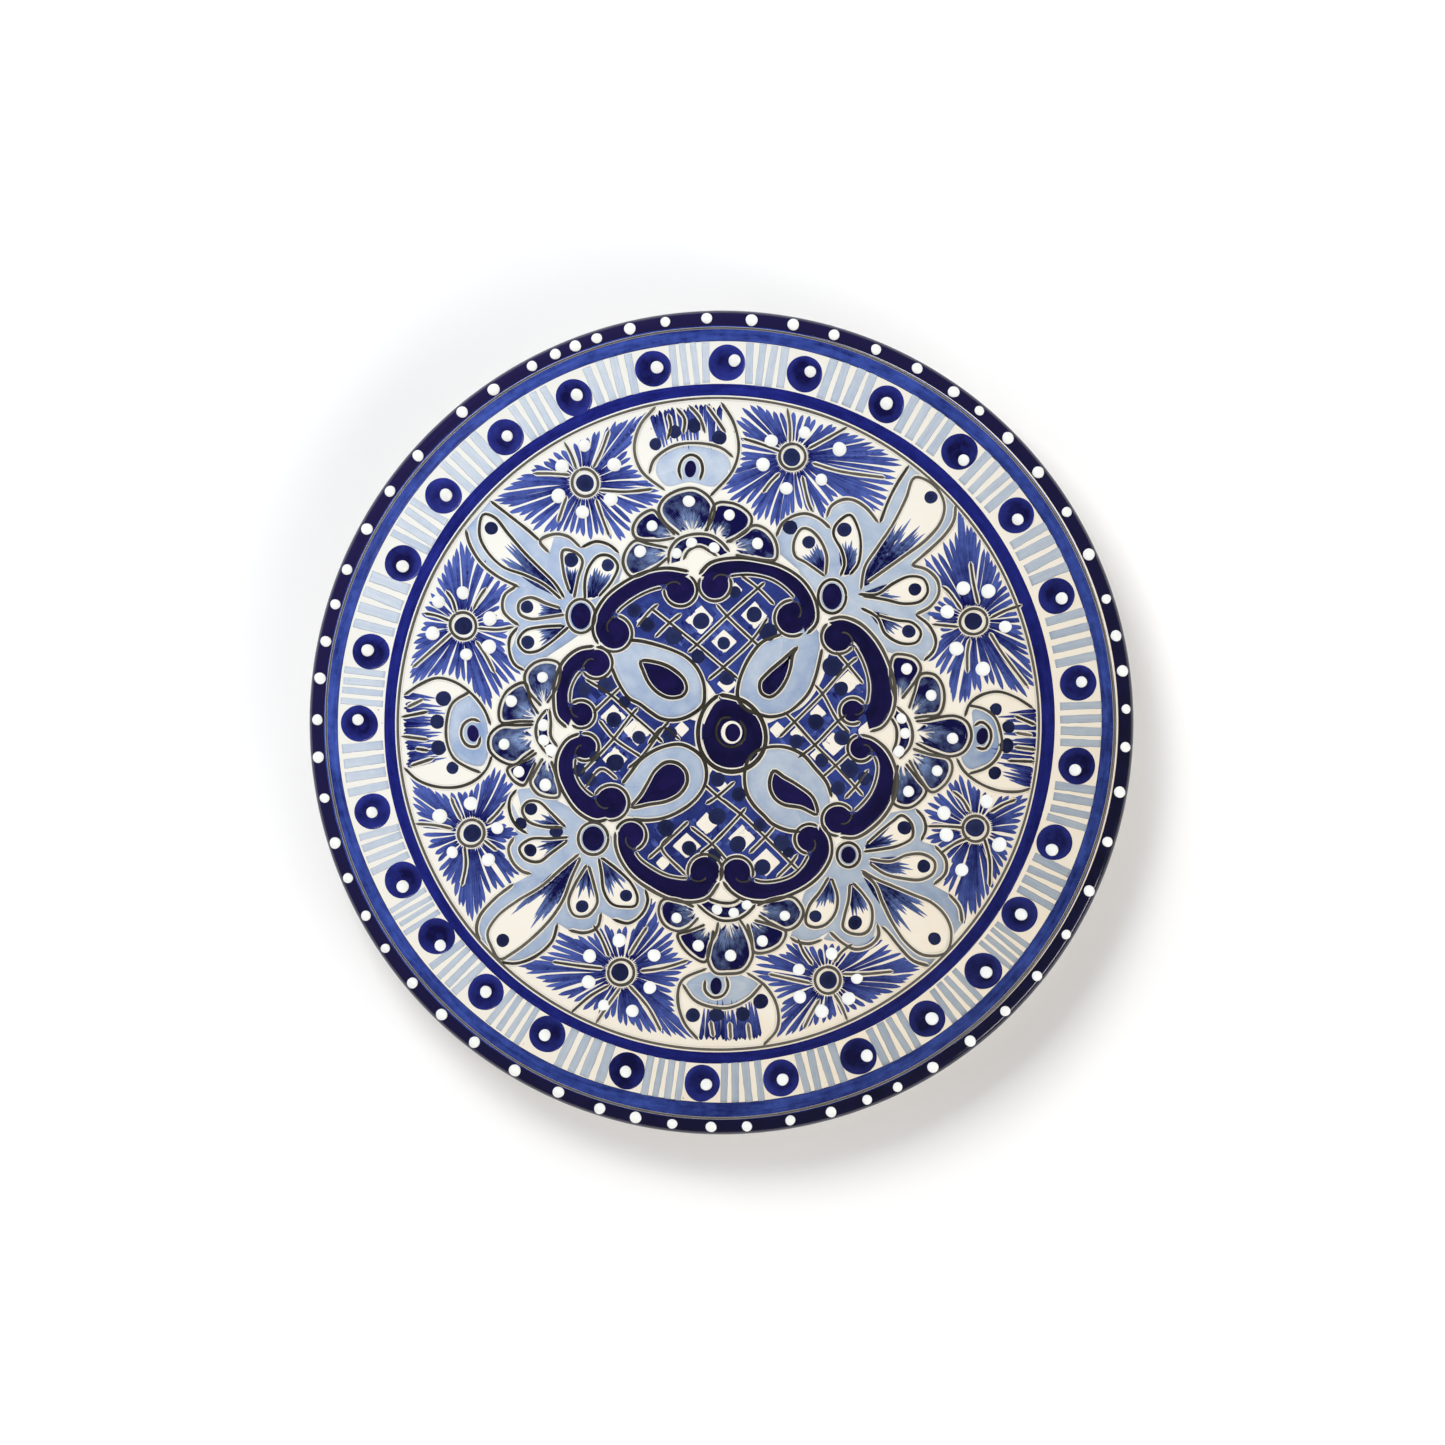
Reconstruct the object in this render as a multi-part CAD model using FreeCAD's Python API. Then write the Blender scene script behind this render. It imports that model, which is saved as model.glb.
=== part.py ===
"""Hand painted ceramic plate: a thrown coupe dish, its glaze coats and every painted or piped deposit.

Frame: +Z up, origin at the centre of the foot ring's resting plane, +Y towards the top of the
painted pattern, millimetres.  Each coat or deposit is its own solid, seated on the coat below it.
"""
import FreeCAD
import Part
import math
import os

from FreeCAD import Vector

# Dish
plate_diameter = 300.0
plate_height = 32.0
wall_thickness = 6.0
well_radius = 75.0
foot_height = 7.0
foot_outer_radius = 74.0
foot_width = 6.0
foot_inset = 0.8

# Glaze coats
glaze_thickness = 0.4
lip_glaze_width = 5.5
lip_glaze_underside = 9.0

# Rings, each width measured along the plate's radius from the lip inwards
trail_width = 1.3
trail_height = 0.55
ring_trail_width = 1.4
ring_gap = 0.5
outer_band_width = 4.0
border_width = 15.0
inner_band_width = 4.9
paint_height = 0.15
paint_gap = 0.5
stripe_width = 2.6
stripes_between_roundels = 5
roundel_count = 28
roundel_radius = 6.1
roundel_height = 0.3
lip_bead_count = 61
lip_bead_radius = 1.7
lip_bead_height = 0.9
bead_radius = 2.2
bead_height = 0.9
dot_height = 0.35
dot_top_share = 0.8
roundel_bead_radius = 1.8
lip_bead_inset = 3.0
lip_bead_sink = 0.25
diamond_half = 4.2
centre_radius = 10.4
centre_white_radius = 4.4
centre_eye_radius = 2.6
cup_eye_wide = 2.3
cup_eye_tall = 3.0
leaf_root_radius = 3.4
starburst_ring_radius = 4.6
starburst_eye_radius = 2.8
starburst_strokes = 18
starburst_stroke_width = 2.6
ray_width = 1.0

# The field's motifs are drawn on a field of this radius and scaled to the plate's own field
drawn_field_radius = 116.8
pattern_centre = (3.9, -4.4)

plate_radius = plate_diameter / 2
lip_radius = wall_thickness / 2
lip_centre_radius = plate_radius - glaze_thickness - lip_radius
lip_centre_height = plate_height - glaze_thickness - lip_radius
floor_height = foot_height + wall_thickness
rise = lip_centre_height - floor_height + lip_radius
run = lip_centre_radius - well_radius
middle_curve_radius = (run ** 2 + rise ** 2) / (2 * rise)
lip_angle = 2 * math.atan(rise / run)
curve_radius = middle_curve_radius - lip_radius
lip_inner_radius = plate_radius - lip_glaze_width
ring_trail_outer = lip_inner_radius
outer_band_outer = ring_trail_outer - ring_trail_width - ring_gap
border_outer = outer_band_outer - outer_band_width
inner_band_outer = border_outer - border_width
field_trail_outer = inner_band_outer - inner_band_width - ring_gap
field_radius = field_trail_outer - ring_trail_width
pattern_scale = field_radius / drawn_field_radius

origin = Vector(0, 0, 0)
up = Vector(0, 0, 1)


# ---- Surfaces of revolution ----

def wall_point(radius, lift):
    """Point of the dish's upper face at a plan radius, moved outwards along its normal by lift."""
    if radius <= well_radius:
        return Vector(radius, 0, floor_height + lift)
    angle = math.asin((radius - well_radius) / curve_radius)
    reach = curve_radius - lift
    return Vector(well_radius + reach * math.sin(angle), 0,
                  floor_height + curve_radius - reach * math.cos(angle))


def under_point(radius, drop):
    """The same for the lower face, moved downwards by drop; the radius is the upper face's."""
    return wall_point(radius, -wall_thickness - drop)


def line(start, end):
    return Part.LineSegment(start, end).toShape()


def wall_edges(place, inner, outer, lift):
    """Edges along a face of the dish from one plan radius to another."""
    edges = []
    if inner < well_radius:
        edges.append(line(place(inner, lift), place(min(outer, well_radius), lift)))
    if outer > well_radius:
        start = max(inner, well_radius)
        middle = (start + outer) / 2
        edges.append(Part.Arc(place(start, lift), place(middle, lift), place(outer, lift)).toShape())
    return edges


def turned(edges):
    """A closed profile turned round the plate's axis."""
    wire = Part.Wire(Part.__sortEdges__(edges))
    return Part.Face(wire).revolve(origin, up, 360)


def coat(inner, outer, low, high, place=wall_point):
    """A ring or disc of even thickness that lies on the dish between two plan radii."""
    edges = wall_edges(place, inner, outer, low) + wall_edges(place, inner, outer, high)
    edges.append(line(place(outer, low), place(outer, high)))
    edges.append(line(place(inner, low), place(inner, high)))
    return turned(edges)


def lip_point(angle, reach):
    """Point at a reach from the centre of the rounded lip; angle 0 points to the upper face."""
    turn = lip_angle + angle
    return Vector(lip_centre_radius - reach * math.sin(turn), 0,
                  lip_centre_height + reach * math.cos(turn))


def lip_arc(reach):
    return Part.Arc(lip_point(0, reach), lip_point(-math.pi / 2, reach), lip_point(-math.pi, reach)).toShape()


wall_end = well_radius + curve_radius * math.sin(lip_angle)


def make_clay_body():
    top = wall_edges(wall_point, 0, wall_end, 0)
    bottom = wall_edges(under_point, foot_outer_radius, wall_end, 0)
    foot_low = foot_outer_radius - foot_inset
    foot_in = foot_outer_radius - foot_width
    outer_top = under_point(foot_outer_radius, 0)
    underside = floor_height - wall_thickness
    foot = [line(outer_top, Vector(foot_low, 0, 0)),
            line(Vector(foot_low, 0, 0), Vector(foot_in + foot_inset, 0, 0)),
            line(Vector(foot_in + foot_inset, 0, 0), Vector(foot_in, 0, underside)),
            line(Vector(foot_in, 0, underside), Vector(0, 0, underside))]
    axis = [line(Vector(0, 0, underside), Vector(0, 0, floor_height))]
    return turned(top + [lip_arc(lip_radius)] + bottom + foot + axis)


def make_lip_glaze():
    """Dark glaze that wraps the rounded lip and part of the underside."""
    end = wall_end - lip_glaze_underside
    top_start = lip_inner_radius
    edges = [lip_arc(lip_radius), lip_arc(lip_radius + glaze_thickness)]
    edges += wall_edges(wall_point, top_start, wall_end, 0)
    edges += wall_edges(wall_point, top_start, wall_end, glaze_thickness)
    edges += wall_edges(under_point, end, wall_end, 0)
    edges += wall_edges(under_point, end, wall_end, glaze_thickness)
    edges.append(line(wall_point(top_start, 0), wall_point(top_start, glaze_thickness)))
    edges.append(line(under_point(end, 0), under_point(end, glaze_thickness)))
    return turned(edges)


def make_back_glaze():
    """Cream glaze under the wall, and inside the foot ring; the foot itself stays bare."""
    outside = coat(foot_outer_radius, wall_end - lip_glaze_underside, 0, glaze_thickness, under_point)
    inside_radius = foot_outer_radius - foot_width - glaze_thickness
    inside = Part.makeCylinder(inside_radius, glaze_thickness,
                               Vector(0, 0, floor_height - wall_thickness - glaze_thickness))
    return [outside, inside]


# ---- Painted and piped shapes ----

def spots(points):
    """Drawn motif points as plate points."""
    return [Vector(x * pattern_scale, y * pattern_scale, 0) for x, y in points]


def spline(points, closed=False):
    curve = Part.BSplineCurve()
    curve.interpolate(Points=points, PeriodicFlag=closed)
    return curve


def middle_of(points):
    total = Vector(0, 0, 0)
    for point in points:
        total += point
    return total * (1 / len(points))


def blob(points, shrink=0.0):
    """Face inside a smooth closed outline, drawn in towards its middle by about shrink."""
    ring = spots(points)
    middle = middle_of(ring)
    share = 1 - shrink / min((point - middle).Length for point in ring)
    return Part.Face(Part.Wire([spline([middle + (point - middle) * share for point in ring], True).toShape()]))


def leaf(one_side, other_side):
    """Face between two curves that meet in points at both ends."""
    tip, root = one_side[0], one_side[-1]
    first = spline(spots(one_side))
    second = spline(spots([tip] + other_side[1:-1] + [root]))
    return Part.Face(Part.Wire(Part.__sortEdges__([first.toShape(), second.toShape()])))


def disc(centre, radius, other_radius=None):
    """Round or oval face; the radii are the plate's own and don't scale with the pattern."""
    place = spots([centre])[0]
    wide = max(radius, other_radius or radius)
    narrow = min(radius, other_radius or radius)
    if wide == narrow:
        return Part.Face(Part.Wire([Part.Circle(place, up, wide).toShape()]))
    oval = Part.Ellipse(place, wide, narrow)
    if other_radius > radius:
        oval.rotate(FreeCAD.Placement(place, FreeCAD.Rotation(up, 90), Vector(0, 0, 0)))
    return Part.Face(Part.Wire([oval.toShape()]))


def trail(points, width=trail_width):
    """Piped line of even width with round ends, along a smooth curve through the points."""
    curve = spline(spots(points))
    start, end = curve.FirstParameter, curve.LastParameter
    steps = max(4, int(curve.length() / 6))
    left, right = [], []
    for i in range(steps + 1):
        place = start + (end - start) * i / steps
        along = curve.tangent(place)[0]
        across = Vector(-along.y, along.x, 0) * (width / 2)
        left.append(curve.value(place) + across)
        right.append(curve.value(place) - across)
    head = curve.value(start) - curve.tangent(start)[0] * (width / 2)
    tail = curve.value(end) + curve.tangent(end)[0] * (width / 2)
    edges = [spline(left).toShape(), Part.Arc(left[-1], tail, right[-1]).toShape(),
             spline(right).toShape(), Part.Arc(right[0], head, left[0]).toShape()]
    return Part.Face(Part.Wire(Part.__sortEdges__(edges)))


def shifted(curve, shift):
    """Closed smooth curve beside a closed curve, to the left of its run by shift."""
    steps = max(8, int(curve.length() / 5))
    path = []
    for i in range(steps):
        place = curve.FirstParameter + (curve.LastParameter - curve.FirstParameter) * i / steps
        along = curve.tangent(place)[0]
        path.append(curve.value(place) + Vector(-along.y, along.x, 0) * shift)
    return Part.Face(Part.Wire([spline(path, True).toShape()]))


def ring_trail(points, width=trail_width):
    """Piped line that closes on itself."""
    curve = spline(spots(points), True)
    sides = sorted([shifted(curve, width / 2), shifted(curve, -width / 2)], key=lambda face: face.Area)
    return sides[1].cut(sides[0]).Faces[0]


def reach_of(face):
    box = face.BoundBox
    return max(math.hypot(x, y) for x in (box.XMin, box.XMax) for y in (box.YMin, box.YMax))


def lay(faces, height):
    """Solids of one height that stand on the glazed face over the given outlines."""
    low, high = glaze_thickness, glaze_thickness + height
    flat, curved = [], []
    for face in faces:
        if reach_of(face) < well_radius:
            flat.append(face.translated(Vector(0, 0, floor_height + low)).extrude(up * height))
        else:
            curved.append(face.extrude(up * plate_height * 2))
    if not curved:
        return flat
    layer = coat(well_radius / 2, wall_end, low, high)
    return flat + [solid for prism in curved for solid in layer.common(prism).Solids]


def dome(radius, height, sink=0.0):
    """Round bead with a flat base at the origin, sunk a little into what carries it."""
    bulge = (radius ** 2 + height ** 2) / (2 * height)
    edges = [line(Vector(0, 0, -sink), Vector(0, 0, height)),
             Part.Arc(Vector(0, 0, height),
                      Vector(bulge * math.sin(0.5 * math.asin(min(1, radius / bulge))), 0,
                             height - bulge + bulge * math.cos(0.5 * math.asin(min(1, radius / bulge)))),
                      Vector(radius, 0, 0)).toShape()]
    if sink:
        edges.append(line(Vector(radius, 0, 0), Vector(radius, 0, -sink)))
    edges.append(line(Vector(radius, 0, -sink), Vector(0, 0, -sink)))
    return turned(edges)


def drop(radius, height, sink=0.0):
    """Flat-topped drop of colour with a sloped edge, sunk a little into what carries it."""
    corners = [(0, -sink), (radius, -sink), (radius, 0), (radius * dot_top_share, height), (0, height)]
    if not sink:
        corners.remove((radius, 0))
    points = [Vector(across, 0, level) for across, level in corners]
    return turned([line(point, following) for point, following in zip(points, points[1:] + points[:1])])


def seated(solid, radius, angle, lift=glaze_thickness):
    """Stand a solid, made at the origin, on the dish at a plan radius and an angle in degrees."""
    tilt = math.degrees(math.asin(max(0.0, radius - well_radius) / curve_radius))
    place = wall_point(radius, lift)
    moved = solid.copy()
    moved.rotate(origin, Vector(0, 1, 0), -tilt)
    moved.translate(place)
    moved.rotate(origin, up, angle)
    return moved


def beads(centres, radius=bead_radius, height=bead_height, shape=dome, lift=glaze_thickness + paint_height):
    """Round beads or drops on the painted colour; each is sunk by the hollow of the dish under it."""
    solids = []
    for x, y in centres:
        radial = math.hypot(x, y) * pattern_scale
        hollow = radius ** 2 / (2 * curve_radius) if radial > well_radius - radius else 0.0
        bead = shape(radius, height, hollow)
        solids.append(seated(bead, radial, math.degrees(math.atan2(y, x)), lift))
    return solids


def around(solid, angles):
    """Copies of a solid turned about the plate's axis."""
    copies = []
    for angle in angles:
        turned_copy = solid.copy()
        turned_copy.rotate(origin, up, angle)
        copies.append(turned_copy)
    return copies


# ---- The pattern, drawn in millimetres on a field of the drawn radius ----

petals = {
    "north_east": {
        "outline": [(6, 9), (8, 19.5), (15, 29.5), (27, 35.3), (34, 36.5), (36, 25), (32, 11), (23.5, 3.3), (14, 2.4)],
        "core": [(26.5, 26.5), (22, 23), (14, 14.5), (17.5, 9.4), (23.5, 15)]},
    "north_west": {
        "outline": [(-6.7, 6), (-6.7, 15), (-13, 24), (-24, 28.5), (-39.5, 25.5), (-38, 15), (-30, 7), (-22, 1.5), (-12, 2.2)],
        "core": [(-29, 22), (-20, 20.8), (-13, 13.5), (-15, 9.8), (-26, 13.5)]},
    "south_west": {
        "outline": [(-9, -10.2), (-15, -8), (-26, -11), (-33, -18), (-36.5, -31), (-27, -35.5), (-13, -31), (-6.2, -23), (-6.5, -14)],
        "core": [(-30, -28.5), (-24.5, -17.5), (-17.5, -14.6), (-12.8, -20), (-20, -28.6)]},
    "south_east": {
        "outline": [(9.5, -14), (9.2, -25), (15.5, -34), (27, -39.7), (36.5, -34.5), (39.5, -24.5), (30, -12), (20, -8.8), (13.5, -10)],
        "core": [(32.5, -31.5), (31, -25), (19.5, -17.8), (18, -24), (24, -30.6)]},
}

lattices = {
    "north": {
        "ground": [(1, 10), (8, 23), (20, 33.5), (19.5, 41), (24, 44.5), (12, 52.3), (-1, 45), (-9, 48), (-14.5, 42.5), (-22, 48.5), (-31, 40), (-30, 31.5), (-16, 27.5), (-7, 19)],
        "lines": [[(-26, 42), (-9, 28.5), (1, 20), (6, 16)], [(-2, 43.5), (2, 39), (13.5, 28)], [(7, 54), (13.5, 49), (19.5, 43)],
                  [(-24.5, 31), (-19, 36.5), (-14.5, 40)], [(-12.5, 25.5), (2, 39), (16, 51.5)], [(-5, 15.5), (1, 20.5), (17, 38.5)]],
        "diamonds": [(-7.5, 38), (1, 30), (12, 39.5), (2, 13.5)]},
    "east": {
        "ground": [(19, -2), (27, 3), (36, 9.5), (38, 25), (42, 26), (52, 18), (52.5, 9), (44, 8), (43.5, 0), (47, -5), (46, -13), (54, -15), (54, -24), (48, -30), (42, -25), (36, -15), (26, -7.5)],
        "lines": [[(21, -5.5), (26.7, 0.2), (37, 10.5), (50, 24)], [(28, -13), (34.2, -8.2), (42.7, 0.5), (46, 3)],
                  [(37, -20), (41.8, -15.8), (47, -11)], [(26, 1), (34.2, -8.2), (41.8, -15.8), (49, -23.6)], [(36, 11.5), (42.7, 0.5), (47, -4)]],
        "diamonds": [(46.5, 14.4), (40.9, -8.5), (20.5, -2.6)]},
    "west": {
        "ground": [(-15, -2.5), (-25, 2), (-37, 10), (-42, 20), (-51, 18), (-55, 10), (-47, 6), (-47, 0), (-49, -4), (-45, -9), (-50, -14), (-50, -24), (-41, -22), (-34, -15), (-24, -8.5)],
        "lines": [[(-46, 16), (-40.3, 9.9), (-32.8, 2.9), (-26, -3)], [(-44, -2), (-39.4, -5.8), (-29.4, -12.7)],
                  [(-44, 4), (-40.3, 9.9), (-37, 12)], [(-45, -10), (-39.4, -5.8), (-32.8, 2.9), (-30, 5)], [(-35, -17), (-29.4, -12.7), (-21.3, -1.9)]],
        "diamonds": [(-30.6, -2.2), (-14.8, -2.6)]},
    "south": {
        "ground": [(1.5, -18), (6, -27), (13, -35), (25, -41.5), (28, -46), (24, -53.5), (15, -56.5), (8, -50), (-1, -52), (-7, -48), (-13, -55), (-22, -53.5), (-30, -47), (-28, -38), (-13, -33.5), (-4, -26)],
        "lines": [[(5, -21.5), (-1.5, -27), (-6, -30)], [(0, -28), (7, -33.5), (16, -42), (27, -53)], [(9, -31), (-3.5, -44.5), (-8, -48)],
                  [(19.5, -38), (10, -48)], [(-12, -36), (-22, -45.5), (-27, -50)], [(-11.5, -38), (-3.5, -44.5), (2, -50.5)]],
        "diamonds": [(-5.5, -37.5), (7.5, -42), (-13.2, -45), (16.5, -51)]},
}

scrolls = {
    "north_north_east": {
        "outer": [(-7, 53.5), (-1, 58.8), (14, 58.3), (29.1, 51.3), (34, 42), (30.1, 33.6)],
        "inner": [(0, 53.5), (11.2, 55), (25.5, 48.3), (28.6, 40)], "knobs": [((-2.4, 50.4), 4.8), ((26, 38.3), 4.9)]},
    "north_north_west": {
        "outer": [(-15, 54), (-28, 54), (-42, 45), (-46, 35), (-43.5, 29)],
        "inner": [(-16, 50), (-26, 49.2), (-38, 41.2), (-38, 36)], "knobs": [((-15, 49.4), 4.6), ((-39, 33), 5.2)]},
    "west_north_west": {
        "outer": [(-48, 26), (-57, 22), (-60.5, 10), (-59, 1), (-54.5, -1)],
        "inner": [(-47, 20), (-54, 17.5), (-56.3, 8), (-51, 2)], "knobs": [((-46, 21.5), 4.6), ((-51.4, 3.6), 4)]},
    "west_south_west": {
        "outer": [(-52, -5), (-59, -12), (-58, -24), (-49, -34), (-43, -33.5)],
        "inner": [(-50.5, -9), (-54.3, -16), (-51.5, -24.5), (-42, -30)], "knobs": [((-50.5, -9), 3.9), ((-41.5, -29.5), 4.9)]},
    "south_south_west": {
        "outer": [(-37.5, -41), (-36, -50), (-26, -60), (-14, -64.2), (-5, -62), (-1.8, -56)],
        "inner": [(-32, -43), (-31, -50), (-20, -57), (-7, -57)], "knobs": [((-33.4, -41.5), 4.2), ((-6, -54.5), 4.8)]},
    "south_south_east": {
        "outer": [(2, -57.5), (9, -64), (24, -62.5), (36, -54.5), (39, -46), (35.5, -39)],
        "inner": [(6, -56), (14, -59), (26, -57), (32.5, -45)], "knobs": [((6, -55.5), 4.4), ((32.8, -43), 4)]},
    "east_north_east": {
        "outer": [(42, 35.5), (50, 35.5), (60, 22), (62.3, 8), (57, 0)],
        "inner": [(44, 31), (49, 28.5), (55, 14), (51, 4)], "knobs": [((43.5, 31.5), 4.4), ((50.5, 3.6), 3.6)]},
    "east_south_east": {
        "outer": [(51, -5.8), (60, -11.5), (63, -22), (55, -37.2), (45.5, -38.5)],
        "inner": [(52, -9), (58, -16), (55, -27), (44, -33.5)], "knobs": [((51.5, -9.3), 3.6), ((44, -34.5), 4.2)]},
}

fans = {
    "north": {
        "petals": [[(-18.5, 63.5), (-27, 65.5), (-34.5, 62.5), (-33, 54.5), (-24, 57)],
                   [(-17.5, 67), (-24, 76.5), (-32, 72), (-30, 67)],
                   [(-15, 67.5), (-22.5, 79), (-12, 85.8), (-3, 79.5), (-6, 69.5)],
                   [(-5, 68.5), (-1, 80.3), (10.5, 76.5), (7, 68), (3, 65.5)],
                   [(3.5, 63), (8.5, 69.8), (19, 67.5), (20, 61), (11, 61)]],
        "arcs": [[(-14, 59.5), (-8, 64.5), (-1.5, 60.8)], [(-19.5, 58.5), (-16, 67), (-6, 69), (3, 62)]],
        "beads": [(-16, 62.3), (-11, 66.4), (-2.9, 64.6), (-29.8, 62), (-26, 71.7), (-12, 80.5), (3.4, 75.6), (13.2, 65.3)]},
    "south": {
        "petals": [[(-9, -70.8), (-16, -76), (-22.5, -71), (-20, -65.5), (-12, -66.5)],
                   [(-8.5, -74), (-15.5, -79), (-9, -86.5), (-4, -83)],
                   [(-0.8, -74), (-4.5, -84), (-1, -91.5), (8, -90.5), (11, -81), (6.5, -73.5)],
                   [(10, -74.5), (12, -83.5), (20, -82), (23, -77.5)],
                   [(13.2, -70), (20, -74.3), (29, -71), (27, -64.8), (19, -64.5)]],
        "arcs": [[(-5, -64.9), (2, -66.3), (7, -65)], [(-9.5, -66.5), (0, -72.2), (12.5, -66.8)]],
        "beads": [(-2.5, -68.9), (4.5, -69.4), (9.2, -67.4), (-16.5, -71.4), (-9.5, -81.2), (3.3, -85.3), (15.5, -79.8), (23.2, -70.8)]},
    "west": {
        "petals": [[(-65.5, 7.5), (-71, 13), (-71, 20), (-64, 22), (-61, 14)],
                   [(-67.5, 3), (-72.5, 13), (-80, 10), (-80.5, 2.5), (-75, 0.5)],
                   [(-69, -1.5), (-81, -1.6), (-84.5, -8), (-76, -15), (-68.5, -9)],
                   [(-68, -11.5), (-78, -17), (-74, -22.5), (-70.5, -20)],
                   [(-63.5, -13.5), (-68.8, -20), (-67, -26), (-60.5, -25.5), (-61, -18)]],
        "arcs": [[(-62.9, 4.5), (-62.6, -3), (-60.5, -8.5)], [(-64, 6), (-68, -4), (-62, -13.5)]],
        "beads": [(-65.3, -0.8), (-65.4, -6.4), (-63, -10.8), (-65.8, 16.4), (-77, 7.6), (-79.3, -8), (-73.9, -17.8), (-64.6, -22.3)]},
    "east": {
        "petals": [[(65.5, 8.5), (72, 16), (71.5, 22.8), (65, 24), (62.5, 14)],
                   [(70, 3.5), (79.5, 4), (81, 12), (75, 17), (70.5, 12)],
                   [(72, -1), (86, 1.7), (90.8, -5), (84, -12), (72, -7.5)],
                   [(69.5, -12), (83, -14), (82.5, -20.5), (77, -24.5), (72, -20)],
                   [(65, -14.5), (72.5, -23), (73.5, -28), (67, -30.3), (63.5, -22)]],
        "arcs": [[(62.4, 3), (64.2, -4), (62.8, -10)], [(63.5, 6.8), (69.8, -3), (64.5, -14)]],
        "beads": [(66.3, 1.6), (67.4, -4), (65.2, -10), (68.3, 19.4), (76.6, 10), (84.6, -5.6), (78.4, -17.6), (68.5, -25)]},
}

cups = {
    "north": {
        "sides": [[(-25.3, 114.5), (-31.5, 104), (-29.3, 92.1), (-20.6, 84.9)], [(0, 114.8), (6.3, 100.2), (4, 92.1), (-4, 83)]],
        "wash": [(-24, 90.5), (-22.5, 96), (-13, 100.5), (0, 98), (3, 93), (-4, 86.2), (-12, 87.2), (-19, 86.8)],
        "lens": [(-25.7, 92.1), (-17.5, 101.2), (-8.4, 102.2), (3.5, 98.7)],
        "eye": (-11.4, 93), "dots": [(-24.2, 101.8), (-17.3, 106.4), (-10, 108.6), (-0.9, 104.4)],
        "rays": [[(-20, 103.5), (-19.2, 113)], [(-13.8, 105.5), (-16.3, 114)], [(-6, 105.8), (-11.5, 114.5)], [(0.3, 108), (-5, 114.5)]]},
    "south": {
        "sides": [[(-5.5, -89.8), (-14.5, -94.5), (-14.5, -108), (-4, -114.8)], [(9.1, -91.5), (19, -100), (19, -111), (13, -114.5)]],
        "wash": [(-12.5, -95.5), (-3, -91.3), (7, -92.8), (13, -95.3), (7, -101.3), (-3, -102.8)],
        "lens": [(-14, -96), (-4, -104), (3, -104.3), (14.5, -95.5)],
        "eye": (-2, -97), "dots": [(-10.5, -107), (-1.8, -107), (7.8, -106.8), (14.4, -102)],
        "rays": [[(-5, -109), (-3.5, -113.5)], [(3.8, -109), (3, -115)], [(9.3, -110), (8.8, -115)]]},
    "west": {
        "sides": [[(-114.5, 10.5), (-104, 16.3), (-92, 11), (-85, 0)], [(-113.5, -18), (-104, -23.5), (-90, -21), (-84, -12.5)]],
        "wash": [(-91.5, 9.2), (-97, 6.5), (-99, 0), (-98.5, -8), (-96, -12.7), (-90, -15.8), (-85.3, -12), (-86.3, 1)],
        "lens": [(-93, 11), (-100, 3), (-99.8, -9), (-89.5, -17.5)],
        "eye": (-91, -4), "dots": [(-102, 9), (-104, 0.3), (-103.7, -9.3), (-98, -17.4)],
        "rays": [[(-114, 5.6), (-108, 7)], [(-115, 1.5), (-107.5, 2.5)], [(-115, -5), (-107.5, -6.3)], [(-112, -14), (-105, -13)]]},
    "east": {
        "sides": [[(89, 3), (95, 10), (107, 9.5), (114, 5)], [(86.5, -13.5), (95, -22.5), (109, -25), (112.5, -24)]],
        "wash": [(92.5, 4.5), (99, 0.5), (100.8, -6), (98.3, -13), (92, -16.5), (87.8, -13.5), (91.5, -8)],
        "lens": [(90.5, 6), (100, 2), (102, -9), (91, -18.5)],
        "eye": (95, -5), "dots": [(101.3, 5), (104.8, -1.5), (105, -9), (101, -19)],
        "rays": [[(107, 2.5), (114, 0)], [(108, -3.9), (114.5, -4.8)], [(109, -9.2), (114.5, -10)], [(104.5, -14), (114, -14.3)]]},
}

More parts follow.
